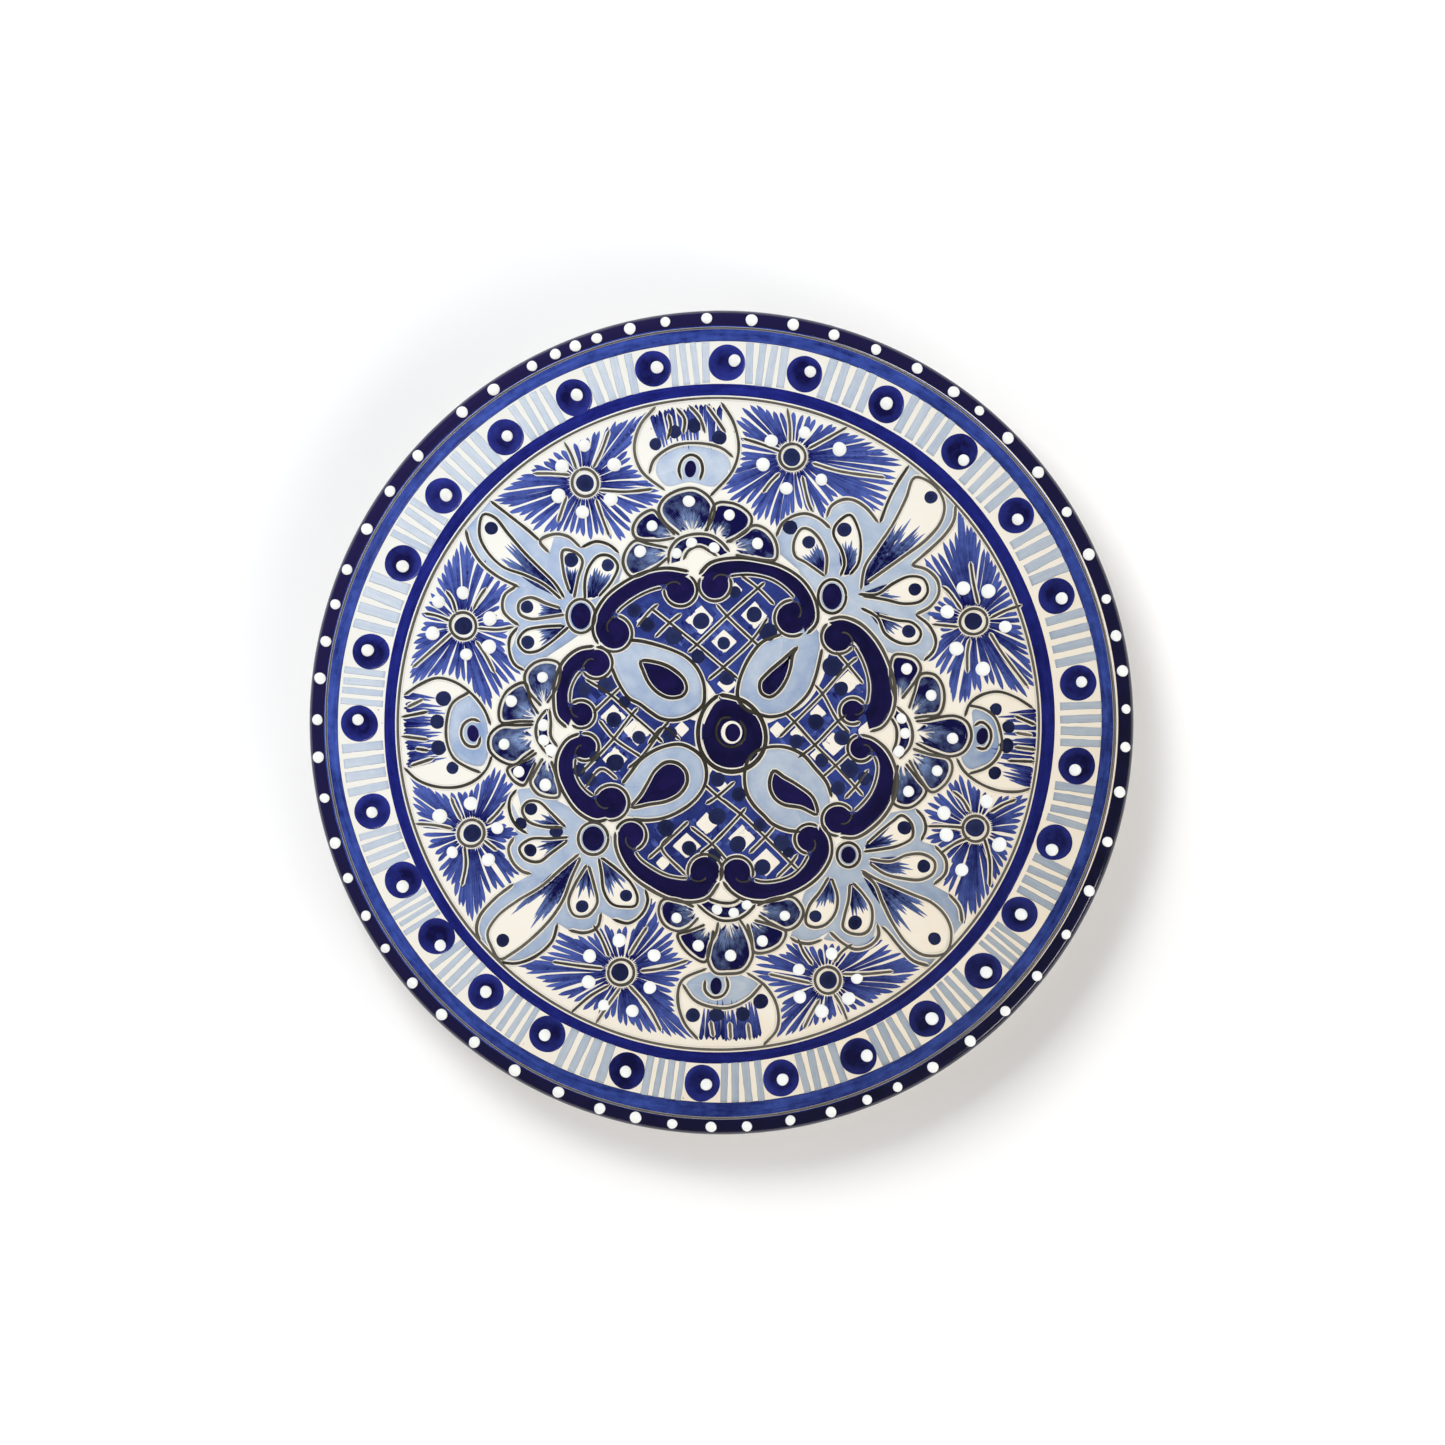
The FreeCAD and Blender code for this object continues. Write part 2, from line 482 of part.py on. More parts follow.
leaf_clusters = {
    "north_east": {
        "big_leaf": ([(70.5, 89.5), (63, 73), (53, 51)], [(70.5, 89.5), (80.5, 82), (67, 61), (53, 51)]),
        "leaves": [([(29.5, 71), (27, 63), (38, 54)], [(29.5, 71), (35, 67), (38, 54)]),
                   ([(45, 76), (42, 68), (43.5, 52.5)], [(45, 76), (51, 67), (43.5, 52.5)]),
                   ([(76, 49), (66, 52), (50, 47)], [(76, 49), (66, 43.8), (50, 47)]),
                   ([(73, 32), (66, 36.8), (52, 41)], [(73, 32), (63, 30.5), (52, 41)])],
        "contour": [[(20, 68.5), (31, 76.5), (40, 71)], [(38.5, 76), (48, 81.5), (57.5, 74)], [(68.5, 93), (64, 87), (58, 76)],
                    [(85, 79), (82, 69), (70, 59)], [(71, 57.5), (79.5, 49), (72, 40.5)], [(73, 39), (78.5, 30), (74, 23.5)]],
        "root": (40, 46), "dots": [(75.5, 81.5), (31.5, 66.5), (45.5, 70.5), (70, 48.5), (68, 33.8)]},
    "north_west": {
        "big_leaf": ([(-87.3, 75), (-72, 62), (-57.5, 45.5)], [(-87.3, 75), (-80, 57), (-57.5, 45.5)]),
        "leaves": [([(-58, 63), (-51, 58.5), (-54.5, 46)], [(-58, 63), (-58, 54), (-54.5, 46)]),
                   ([(-41, 61.5), (-49.5, 56), (-49, 45)], [(-41, 61.5), (-39, 53), (-49, 45)]),
                   ([(-75, 42), (-66, 44.8), (-57.5, 41)], [(-75, 42), (-66, 38), (-57.5, 41)]),
                   ([(-74.5, 29), (-66, 34.8), (-56.5, 35.5)], [(-74.5, 29), (-65, 27.3), (-56.5, 35.5)])],
        "contour": [[(-84, 80.5), (-71, 70.5), (-63.5, 64)], [(-64.5, 67.5), (-56, 68), (-52, 64.8)], [(-50, 65), (-44, 66), (-37.5, 62)],
                    [(-93, 69.5), (-88, 58.5), (-75, 51.5)], [(-77, 48), (-80, 41), (-75, 36.5)], [(-76, 33), (-77.5, 25), (-73, 19.5)]],
        "root": (-51.5, 39), "dots": [(-83, 70.5), (-55.5, 58.8), (-42.5, 57.5), (-71, 41.8), (-70.5, 29.8)]},
    "south_west": {
        "big_leaf": ([(-83, -84.5), (-76, -66.5), (-52, -48.5)], [(-83, -84.5), (-63, -73), (-52, -48.5)]),
        "leaves": [([(-73, -31), (-65, -30.5), (-57.5, -37)], [(-73, -31), (-67, -38.5), (-57.5, -37)]),
                   ([(-73.5, -47.5), (-66, -42.3), (-56, -42)], [(-73.5, -47.5), (-65, -50), (-56, -42)]),
                   ([(-51, -71), (-55, -63), (-49.3, -52)], [(-51, -71), (-45.5, -64), (-49.3, -52)]),
                   ([(-33, -67), (-42.5, -63), (-42.5, -50.5)], [(-33, -67), (-33, -58), (-42.5, -50.5)])],
        "contour": [[(-75.5, -25), (-77.5, -32), (-72, -40)], [(-76, -43), (-77.5, -49), (-70.5, -55)], [(-76.5, -59.5), (-87, -69), (-88.5, -79)],
                    [(-81, -87.8), (-66, -84.5), (-60.5, -75)], [(-56.5, -75.5), (-49, -77), (-44.5, -70.5)], [(-41, -71.5), (-31.5, -72.5), (-27.5, -62)]],
        "root": (-47, -42.5), "dots": [(-78.5, -79.5), (-69.3, -32), (-69.5, -46.6), (-50.5, -66.8), (-35.5, -62.8)]},
    "south_east": {
        "big_leaf": ([(82, -84), (68, -62), (51, -54.5)], [(82, -84), (63, -73.5), (51, -54.5)]),
        "leaves": [([(70, -37), (60, -38.8), (52, -46)], [(70, -37), (64, -45.2), (52, -46)]),
                   ([(78.5, -53), (66, -49), (53.5, -51.5)], [(78.5, -53), (66, -56.8), (53.5, -51.5)]),
                   ([(34, -75), (32, -66), (39.3, -56.5)], [(34, -75), (42, -68), (39.3, -56.5)]),
                   ([(50, -78), (45.5, -68), (47.5, -58)], [(50, -78), (54.5, -68), (47.5, -58)])],
        "contour": [[(71.5, -31.5), (74.8, -38), (73, -43)], [(78.5, -45.5), (82, -54), (78.5, -59)], [(82, -62), (87, -69), (88, -74)],
                    [(76, -88.5), (66, -83), (58.5, -76.5)], [(57.3, -75.5), (54, -81.5), (46, -82), (41, -78)], [(38.5, -78.5), (32, -81), (26, -79)]],
        "root": (46.5, -48.5), "dots": [(77, -79), (66.5, -38.8), (73.5, -52.6), (34.8, -70.5), (49.3, -73)]},
}

starburst_centres = [(26.5, 97.5), (-49.8, 87.8), (-94, 36), (-92, -40), (-36.7, -91), (38.8, -93.7), (94, -37.5), (93, 36.5)]
starburst_reach = [15, 14, 14, 14, 14.5, 14, 14, 14]
starburst_bead_reach = 12.0
starburst_bead_count = 6
starburst_ray_count = 5

lattice_dots = [(-7.5, 36.8), (1, 28.6), (12.3, 39.6), (2, 17), (-27.3, 36), (5, 47.5), (17, 33.8), (-17, 31.5),
                (34.5, 0.2), (43.9, 12.2), (40.3, 20), (27.8, -6.8), (36.9, -13.7), (40.6, -7), (48, -17.5),
                (-39.4, 1.1), (-30.2, -5.6), (-38.9, -14), (-20, -5), (-42.5, 13.8), (-46, -16.5),
                (-1.5, -34), (6, -44.5), (-11.8, -46), (15, -53), (-20, -39.8), (21, -44.5), (0.5, -21)]
lattice_dot_radius = 2.2
slate_dot_radius = 2.1


# ---- Nodes ----

def scroll_face(scroll):
    """Band between its outer and inner curves, closed by a round knob at each end."""
    outer = spline(spots(scroll["outer"]))
    inner = spline(spots(scroll["inner"]))
    ends = [line(outer.StartPoint, inner.StartPoint), line(outer.EndPoint, inner.EndPoint)]
    band = Part.Face(Part.Wire(Part.__sortEdges__([outer.toShape(), inner.toShape()] + ends)))
    for centre, radius in scroll["knobs"]:
        band = band.fuse(disc(centre, radius * pattern_scale))
    return band.removeSplitter().Faces


def scroll_trail(scroll):
    """Outline piped clear of the band's outer edge."""
    points = spots(scroll["outer"])
    curve = spline(points)
    steps = 5
    shift = paint_gap + trail_width / 2
    path = []
    for i in range(steps + 1):
        place = curve.FirstParameter + (curve.LastParameter - curve.FirstParameter) * i / steps
        along = curve.tangent(place)[0]
        away = Vector(-along.y, along.x, 0)
        point = curve.value(place)
        if away.dot(point) < 0:
            away = away * -1
        path.append((point + away * shift) * (1 / pattern_scale))
    return trail([(point.x, point.y) for point in path])


def joined(faces):
    """One or more faces as their union, so that crossing lines are one deposit."""
    whole = faces[0]
    for face in faces[1:]:
        whole = whole.fuse(face)
    return whole.removeSplitter().Faces


def without(face, cuts):
    """The face with the cutting faces taken out of it."""
    return face.cut(cuts).Faces if cuts else [face]


def diamond(centre, half):
    corners = [Vector(0, half, 0), Vector(half, 0, 0), Vector(0, -half, 0), Vector(-half, 0, 0)]
    place = spots([centre])[0]
    return Part.Face(Part.makePolygon([place + corner for corner in corners] + [place + corners[0]]))


def ring_at(centre, radius, width=trail_width):
    return disc(centre, radius + width / 2).cut(disc(centre, radius - width / 2)).Faces[0]


def polar(centre, reach, angle):
    """Drawn point at a reach and an angle in degrees from a drawn centre."""
    turn = math.radians(angle)
    return (centre[0] + reach * math.cos(turn), centre[1] + reach * math.sin(turn))


def make_lattice():
    """Painted ground between the petals, the lines piped across it, and the faces of its dots."""
    grounds, lines = [], []
    for lattice in lattices.values():
        ground = blob(lattice["ground"], paint_gap)
        whites = [diamond(centre, diamond_half * pattern_scale) for centre in lattice["diamonds"]]
        gaps = [trail(path, trail_width + 2 * paint_gap) for path in lattice["lines"]]
        lines += joined([trail(path) for path in lattice["lines"]])
        grounds += without(ground, whites + gaps)
    return grounds, lines


def make_border():
    """Radial stripes and dark roundels between the two bands, with a bead on each roundel."""
    inner, outer = inner_band_outer + ring_gap, border_outer - ring_gap
    middle = (inner + outer) / 2
    strip = Part.makePlane(outer - inner, stripe_width, Vector(inner, -stripe_width / 2, 0))
    stripe = lay([strip], paint_height)[0]
    spot = Part.Face(Part.Wire([Part.Circle(Vector(middle, 0, 0), up, roundel_radius).toShape()]))
    roundel = lay([spot], roundel_height)[0]
    step = 360 / roundel_count
    half_spot = math.degrees(roundel_radius / middle)
    pitch = (step - 2 * half_spot) / stripes_between_roundels
    stripe_angles = [step * i + half_spot + pitch * (j + 0.5)
                     for i in range(roundel_count) for j in range(stripes_between_roundels)]
    roundel_angles = [step * i for i in range(roundel_count)]
    hollow = roundel_bead_radius ** 2 / (2 * curve_radius)
    bead = seated(dome(roundel_bead_radius, bead_height, hollow), middle, 0, glaze_thickness + roundel_height)
    return around(stripe, stripe_angles), around(roundel, roundel_angles), around(bead, roundel_angles)


def make_lip_beads():
    """Beads on the crown of the rounded lip, cut to its curve."""
    crown = lip_centre_height + lip_radius + glaze_thickness
    bead = dome(lip_bead_radius, lip_bead_height, lip_radius / 2)
    bead.translate(Vector(plate_radius - lip_bead_inset, 0, crown - lip_bead_sink))
    lip = Part.makeTorus(lip_centre_radius, lip_radius + glaze_thickness, Vector(0, 0, lip_centre_height))
    seat = bead.cut(lip)
    best = max(seat.Solids, key=lambda solid: solid.BoundBox.ZMax)
    return around(best, [360 / lip_bead_count * i for i in range(lip_bead_count)])


def make_starbursts():
    """Brush strokes, piped rays, an eye ring and beads round each starburst's centre."""
    strokes, rays, rings, eyes, bead_places = [], [], [], [], []
    ring_radius = starburst_ring_radius / pattern_scale
    for centre, reach in zip(starburst_centres, starburst_reach):
        start = ring_radius + (trail_width / 2 + paint_gap) / pattern_scale
        turn = 360 / starburst_strokes
        half = starburst_stroke_width / 2 / reach
        for i in range(starburst_strokes):
            angle = turn * i
            root, tip = polar(centre, start, angle), polar(centre, reach, angle)
            widest = 0.72 * reach
            spread = math.degrees(half)
            strokes.append(leaf([root, polar(centre, widest, angle - spread), tip],
                                [root, polar(centre, widest, angle + spread), tip]))
        for i in range(starburst_ray_count):
            angle = turn * (round(starburst_strokes / starburst_ray_count * i) + 0.5)
            rays.append(trail([polar(centre, start + 1, angle), polar(centre, 0.8 * reach, angle)], ray_width))
        for i in range(starburst_bead_count):
            angle = turn * round(starburst_strokes / starburst_bead_count * (i + 0.5))
            bead_places.append(polar(centre, starburst_bead_reach, angle))
        rings.append(ring_at(centre, starburst_ring_radius))
        eyes.append(disc(centre, starburst_eye_radius))
    return strokes, rays, rings, eyes, bead_places


def make_centre():
    """Dark disc with a white ring and a slate eye in the middle of the pattern."""
    outline = ring_at(pattern_centre, centre_radius + trail_width / 2 + paint_gap)
    white = disc(pattern_centre, centre_white_radius)
    dark = disc(pattern_centre, centre_radius).cut(disc(pattern_centre, centre_white_radius + paint_gap)).Faces[0]
    eye = disc(pattern_centre, centre_eye_radius)
    return outline, white.cut(disc(pattern_centre, centre_eye_radius + paint_gap)).Faces[0], dark, eye


def make_nodes():
    border_stripes, border_roundels, roundel_beads = make_border()
    lattice_grounds, lattice_lines = make_lattice()
    strokes, rays, rings, eyes, starburst_beads = make_starbursts()
    centre_outline, centre_white, centre_dark, centre_eye = make_centre()
    fill = trail_width / 2 + paint_gap
    petal_washes = [piece for petal in petals.values()
                    for piece in without(blob(petal["outline"], fill), [blob(petal["core"], -fill)])]
    petal_trails = [ring_trail(petal[name]) for petal in petals.values() for name in ("outline", "core")]
    scroll_faces = [face for scroll in scrolls.values() for face in scroll_face(scroll)]
    fan_fills = [blob(petal, fill) for fan in fans.values() for petal in fan["petals"]]
    fan_trails = [face for fan in fans.values()
                  for face in [ring_trail(petal) for petal in fan["petals"]] + [trail(arc) for arc in fan["arcs"]]]
    cup_lines = [line_points for cup in cups.values() for line_points in cup["sides"] + [cup["lens"]] + cup["rays"]]
    leaf_shapes = [shape for cluster in leaf_clusters.values() for shape in [cluster["big_leaf"]] + cluster["leaves"]]
    leaf_lines = [contour for cluster in leaf_clusters.values() for contour in cluster["contour"]]
    roots = [cluster["root"] for cluster in leaf_clusters.values()]
    slate_dots = [dot for group in list(cups.values()) + list(leaf_clusters.values()) for dot in group["dots"]]
    return {
        "clay_body": [make_clay_body()],
        "face_glaze": [coat(0, lip_inner_radius, 0, glaze_thickness)],
        "back_glaze": make_back_glaze(),
        "lip_glaze": [make_lip_glaze()],
        "lip_beads": make_lip_beads(),
        "ring_trails": [coat(outer - ring_trail_width, outer, glaze_thickness, glaze_thickness + trail_height)
                        for outer in (ring_trail_outer, field_trail_outer)],
        "outer_band": [coat(border_outer, outer_band_outer, glaze_thickness, glaze_thickness + paint_height)],
        "inner_band": [coat(inner_band_outer - inner_band_width, inner_band_outer,
                            glaze_thickness, glaze_thickness + paint_height)],
        "border_stripes": border_stripes,
        "border_roundels": border_roundels,
        "roundel_beads": roundel_beads,
        "centre_disc": lay([centre_dark, centre_eye], paint_height),
        "centre_white": lay([centre_white], dot_height),
        "centre_trail": lay([centre_outline], trail_height),
        "petal_washes": lay(petal_washes, paint_height),
        "petal_cores": lay([blob(petal["core"], fill) for petal in petals.values()], paint_height),
        "petal_trails": lay(joined(petal_trails), trail_height),
        "lattice_grounds": lay(lattice_grounds, paint_height),
        "lattice_trails": lay(lattice_lines, trail_height),
        "lattice_dots": beads(lattice_dots, lattice_dot_radius, dot_height, drop),
        "scroll_bands": lay(scroll_faces, paint_height),
        "scroll_trails": lay([scroll_trail(scroll) for scroll in scrolls.values()], trail_height),
        "fan_petals": lay(fan_fills, paint_height),
        "fan_trails": lay(fan_trails, trail_height),
        "fan_beads": beads([bead for fan in fans.values() for bead in fan["beads"]]),
        "cup_washes": lay([blob(cup["wash"]).cut(disc(cup["eye"], cup_eye_wide + paint_gap, cup_eye_tall + paint_gap)).Faces[0]
                           for cup in cups.values()], paint_height),
        "cup_eyes": lay([disc(cup["eye"], cup_eye_wide, cup_eye_tall) for cup in cups.values()], paint_height),
        "cup_trails": lay([trail(path) for path in cup_lines], trail_height),
        "leaf_fills": lay([leaf(*shape) for shape in leaf_shapes], paint_height),
        "leaf_roots": lay([disc(root, leaf_root_radius) for root in roots], paint_height),
        "leaf_trails": lay([trail(path) for path in leaf_lines]
                           + [ring_at(root, leaf_root_radius + fill) for root in roots], trail_height),
        "slate_dots": beads(slate_dots, slate_dot_radius, dot_height, drop),
        "starburst_strokes": lay(strokes, paint_height),
        "starburst_rays": lay(rays, trail_height),
        "starburst_rings": lay(rings, trail_height),
        "starburst_eyes": lay(eyes, paint_height),
        "starburst_beads": beads(starburst_beads),
    }


os.makedirs("parts", exist_ok=True)
for name, solids in make_nodes().items():
    Part.makeCompound(solids).exportStep(os.path.join("parts", name + ".step"))
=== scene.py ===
import bpy
import numpy as np
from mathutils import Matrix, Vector


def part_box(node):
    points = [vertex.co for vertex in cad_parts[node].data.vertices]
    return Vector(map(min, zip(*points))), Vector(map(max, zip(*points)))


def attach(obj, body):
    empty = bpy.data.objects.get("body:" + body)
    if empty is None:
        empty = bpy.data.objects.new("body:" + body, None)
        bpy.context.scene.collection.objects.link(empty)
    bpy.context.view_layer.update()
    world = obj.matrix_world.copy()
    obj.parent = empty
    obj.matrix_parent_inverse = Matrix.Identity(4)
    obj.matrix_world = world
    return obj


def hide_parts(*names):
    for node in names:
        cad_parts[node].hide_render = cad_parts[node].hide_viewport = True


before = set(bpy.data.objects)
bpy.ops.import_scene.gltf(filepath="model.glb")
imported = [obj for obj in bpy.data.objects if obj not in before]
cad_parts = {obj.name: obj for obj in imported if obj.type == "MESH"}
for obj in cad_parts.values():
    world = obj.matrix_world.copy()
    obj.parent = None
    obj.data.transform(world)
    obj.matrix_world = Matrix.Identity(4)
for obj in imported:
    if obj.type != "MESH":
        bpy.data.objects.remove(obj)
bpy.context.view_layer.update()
print("frame loaded")

# All sizes below are millimetres; joinShells turns them into metres
mm = 0.001
rng = np.random.default_rng(7)

# The dish: a flat well, then a wall that curves up to a rounded lip
dish = {"wellRadius": 75.0, "wall": 6.0, "glaze": 0.4, "footOuter": 74.0,
        "lipGlazeInner": 144.5, "lipGlazeDrop": 9.0, "seat": 0.02}
dish["floor"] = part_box("face_glaze")[0].z / mm
dish["radius"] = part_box("lip_glaze")[1].x / mm
dish["lipTop"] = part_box("lip_glaze")[1].z / mm
dish["underside"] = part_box("back_glaze")[0].z / mm + dish["glaze"]
dish["lipBottom"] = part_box("lip_glaze")[0].z / mm
lipRadius = dish["wall"] / 2
lipRound = lipRadius + dish["glaze"]
lipCentre = np.array([dish["radius"] - lipRound, dish["lipTop"] - lipRound])
run = lipCentre[0] - dish["wellRadius"]
rise = lipCentre[1] - dish["floor"] + lipRadius
lipAngle = 2 * np.arctan(rise / run)
curveRadius = (run ** 2 + rise ** 2) / (2 * rise) - lipRadius
glazeCurve = curveRadius - dish["glaze"]
wallEnd = dish["wellRadius"] + glazeCurve * np.sin(lipAngle)
coatRoot = -0.05  # every coat of paint starts this far under the glazed face


def heightAt(x, y):
    # Glazed face: flat to the well's edge, then a circle's arc, then the lip's own circle
    radius = np.hypot(x, y)
    out = np.clip(radius - dish["wellRadius"], 0, wallEnd - dish["wellRadius"])
    wall = dish["floor"] + curveRadius - np.sqrt(glazeCurve ** 2 - out ** 2)
    across = np.clip(radius - lipCentre[0], -lipRound, lipRound)
    lip = lipCentre[1] + np.sqrt(lipRound ** 2 - across ** 2)
    return np.where(radius < wallEnd, wall, lip)


# Meshes: closed skins built as whole arrays

def shell(rings, poles, along=None, across=None, tone=0.0):
    # A closed skin: rings of points, each joined to the next, closed by a pole at both ends
    m, k = rings.shape[:2]
    index = np.arange(m * k).reshape(m, k)
    a, b = index[:-1], index[1:]
    quads = np.stack([a, b, np.roll(b, -1, 1), np.roll(a, -1, 1)], -1).reshape(-1, 4)
    first = np.stack([np.full(k, m * k), index[0], np.roll(index[0], -1)], -1)
    last = np.stack([np.full(k, m * k + 1), np.roll(index[-1], -1), index[-1]], -1)
    points = np.concatenate([rings.reshape(-1, 3), poles])
    tris = np.concatenate([quads[:, [0, 1, 2]], quads[:, [0, 2, 3]], first, last])
    p, q, r = points[tris[:, 0]], points[tris[:, 1]], points[tris[:, 2]]
    if np.einsum("ij,ij->i", p - points[0], np.cross(q - points[0], r - points[0])).sum() < 0:
        quads, first, last = quads[:, ::-1], first[:, ::-1], last[:, ::-1]
    along = np.zeros((m, k)) if along is None else np.broadcast_to(along, (m, k))
    across = np.zeros((m, k)) if across is None else np.broadcast_to(across, (m, k))
    values = np.stack([np.append(along.ravel(), [along[0, 0], along[-1, 0]]),
                       np.append(across.ravel(), [across[0].mean(), across[-1].mean()]),
                       np.full(len(points), tone)], -1)
    return {"points": points, "quads": quads, "tris": np.concatenate([first, last]), "values": values}


def hoop(rings, along=None, tone=0.0):
    # A closed ring of cross-sections, joined round both ways
    m, k = rings.shape[:2]
    index = np.arange(m * k).reshape(m, k)
    nextRing, nextPoint = np.roll(index, -1, 0), np.roll(index, -1, 1)
    quads = np.stack([index, nextRing, np.roll(nextRing, -1, 1), nextPoint], -1).reshape(-1, 4)
    points = rings.reshape(-1, 3)
    p, q, r, s = (points[quads[:, i]] for i in range(4))
    volume = sum(np.einsum("ij,ij->i", p, np.cross(a, b)).sum() for a, b in ((q, r), (r, s)))
    if volume < 0:
        quads = quads[:, ::-1]
    along = np.linspace(0, 1, m)[:, None] if along is None else along
    across = np.linspace(0, 1, k)[None, :]
    values = np.stack([np.broadcast_to(along, (m, k)).ravel(), np.broadcast_to(across, (m, k)).ravel(),
                       np.full(m * k, tone)], -1)
    return {"points": points, "quads": quads, "tris": np.zeros((0, 3), int), "values": values}


def joinShells(name, shells, material, slotName, *nodes):
    # One object from many shells; along, across and tone go with each point for the materials
    points = np.concatenate([s["points"] for s in shells]) * mm
    starts = np.cumsum([0] + [len(s["points"]) for s in shells[:-1]])
    quads = np.concatenate([s["quads"] + start for s, start in zip(shells, starts)])
    tris = np.concatenate([s["tris"] + start for s, start in zip(shells, starts)])
    mesh = bpy.data.meshes.new(name)
    mesh.from_pydata(points, [], quads.tolist() + tris.tolist())
    values = np.concatenate([s["values"] for s in shells])
    for column, title in enumerate(("along", "across", "tone")):
        layer = mesh.attributes.new(title, "FLOAT", "POINT")
        layer.data.foreach_set("value", np.ascontiguousarray(values[:, column]))
    mesh.polygons.foreach_set("use_smooth", np.ones(len(mesh.polygons), bool))
    mesh.materials.append(material)
    mesh.validate()
    mesh.update()
    piece = bpy.data.objects.new(name, mesh)
    bpy.context.collection.objects.link(piece)
    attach(piece, "root")
    if nodes:
        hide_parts(*nodes)
    print("made", name, len(mesh.polygons))
    return piece


# Curves are drawn in the plane and then laid on the dish

def smooth(points, count, closed=False):
    # Catmull-Rom curve through the points, with knots spaced by chord length, resampled evenly
    p = np.array(points, float)
    if closed:
        p = np.concatenate([p[-1:], p, p[:2]])
    else:
        p = np.concatenate([[2 * p[0] - p[1]], p, [2 * p[-1] - p[-2]]])
    chord = np.maximum(np.hypot(*np.diff(p, axis=0).T), 1e-6)
    knots = np.append(0, np.cumsum(np.sqrt(chord)))
    t = np.linspace(knots[1], knots[-2], 40 * (len(p) - 3) + 1)
    i = np.clip(np.searchsorted(knots, t, "right") - 1, 1, len(p) - 3)
    k0, k1, k2, k3 = (knots[i + j][:, None] for j in (-1, 0, 1, 2))
    p0, p1, p2, p3 = (p[i + j] for j in (-1, 0, 1, 2))
    t = t[:, None]
    a1 = (k1 - t) / (k1 - k0) * p0 + (t - k0) / (k1 - k0) * p1
    a2 = (k2 - t) / (k2 - k1) * p1 + (t - k1) / (k2 - k1) * p2
    a3 = (k3 - t) / (k3 - k2) * p2 + (t - k2) / (k3 - k2) * p3
    b1 = (k2 - t) / (k2 - k0) * a1 + (t - k0) / (k2 - k0) * a2
    b2 = (k3 - t) / (k3 - k1) * a2 + (t - k1) / (k3 - k1) * a3
    fine = (k2 - t) / (k2 - k1) * b1 + (t - k1) / (k2 - k1) * b2
    run = np.append(0, np.cumsum(np.hypot(*np.diff(fine, axis=0).T)))
    at = np.linspace(0, run[-1], count + 1)[:-1] if closed else np.linspace(0, run[-1], count)
    return np.stack([np.interp(at, run, fine[:, 0]), np.interp(at, run, fine[:, 1])], -1)


def sideways(path, closed=False):
    # Unit normals to the left of a path
    step = np.roll(path, -1, 0) - np.roll(path, 1, 0) if closed else np.gradient(path, axis=0)
    step /= np.maximum(np.hypot(*step.T), 1e-9)[:, None]
    return np.stack([-step[:, 1], step[:, 0]], -1)


def wobble(count, size, waves=4):
    # Slow unevenness: a sum of a few sines of random phase, about size high
    t = np.linspace(0, 2 * np.pi, count)
    total = sum(np.sin(t * n + rng.uniform(0, 6.28)) / n ** 0.5 for n in range(1, waves + 1))
    return size * total / waves ** 0.5


def laid(x, y, lift):
    # Points over x and y, lifted off the glazed face
    return np.stack([x, y, heightAt(x, y) + lift], -1)


# Cross-sections of a laid line: how far across, and how high, going round it
roundSection = (np.array([-1, -0.92, -0.7, -0.36, 0, 0.36, 0.7, 0.92, 1, 0.4, -0.4]),
                np.array([0, 0.42, 0.76, 0.95, 1, 0.95, 0.76, 0.42, 0, 0, 0]))
flatSection = (np.array([-1, -0.8, 0, 0.8, 1, 0]), np.array([0.2, 0.9, 1, 0.9, 0.2, 0]))


def carried(path, half, height, section, base, tone, ends):
    # A cross-section carried along a path; half is the vector from the path to its left edge
    x, y = np.moveaxis(path[:, None, :] + half[:, None, :] * section[0][None, :, None], -1, 0)
    low = section[1][None, :] == 0
    above = section[1][None, :] * np.broadcast_to(height, len(path))[:, None]
    lift = np.where(low, coatRoot, base + above)
    poles = laid(ends[:, 0], ends[:, 1], base + 0.2 * np.max(height))
    t = np.linspace(0, 1, len(path))[:, None]
    return shell(laid(x, y, lift), poles, t, (section[0] * 0.5 + 0.5)[None, :], tone)


def laidLine(path, width, height, section=roundSection, base=0.0, tone=None, blunt=True):
    # A line of paint or slip: a cross-section across a path, rounded off at both ends when blunt
    width = np.broadcast_to(width, len(path)).astype(float)
    run = np.append(0, np.cumsum(np.hypot(*np.diff(path, axis=0).T)))
    near = np.minimum(run, run[-1] - run) / np.maximum(width / 2, 1e-6)
    rounded = np.sqrt(np.clip(1 - (1 - np.clip(near, 0, 1)) ** 2, 0.05, 1))
    close = rounded if blunt else np.ones(len(path))
    half = sideways(path) * (width * close / 2)[:, None]
    tone = rng.uniform() if tone is None else tone
    return carried(path, half, height * close, section, base, tone, path[[0, -1]])


def between(left, right, height, base=0.0, tone=None):
    # A patch of paint between two curves that run the same way
    tone = rng.uniform() if tone is None else tone
    path, half = (left + right) / 2, (left - right) / 2
    return carried(path, half, height, flatSection, base, tone, path[[0, -1]])


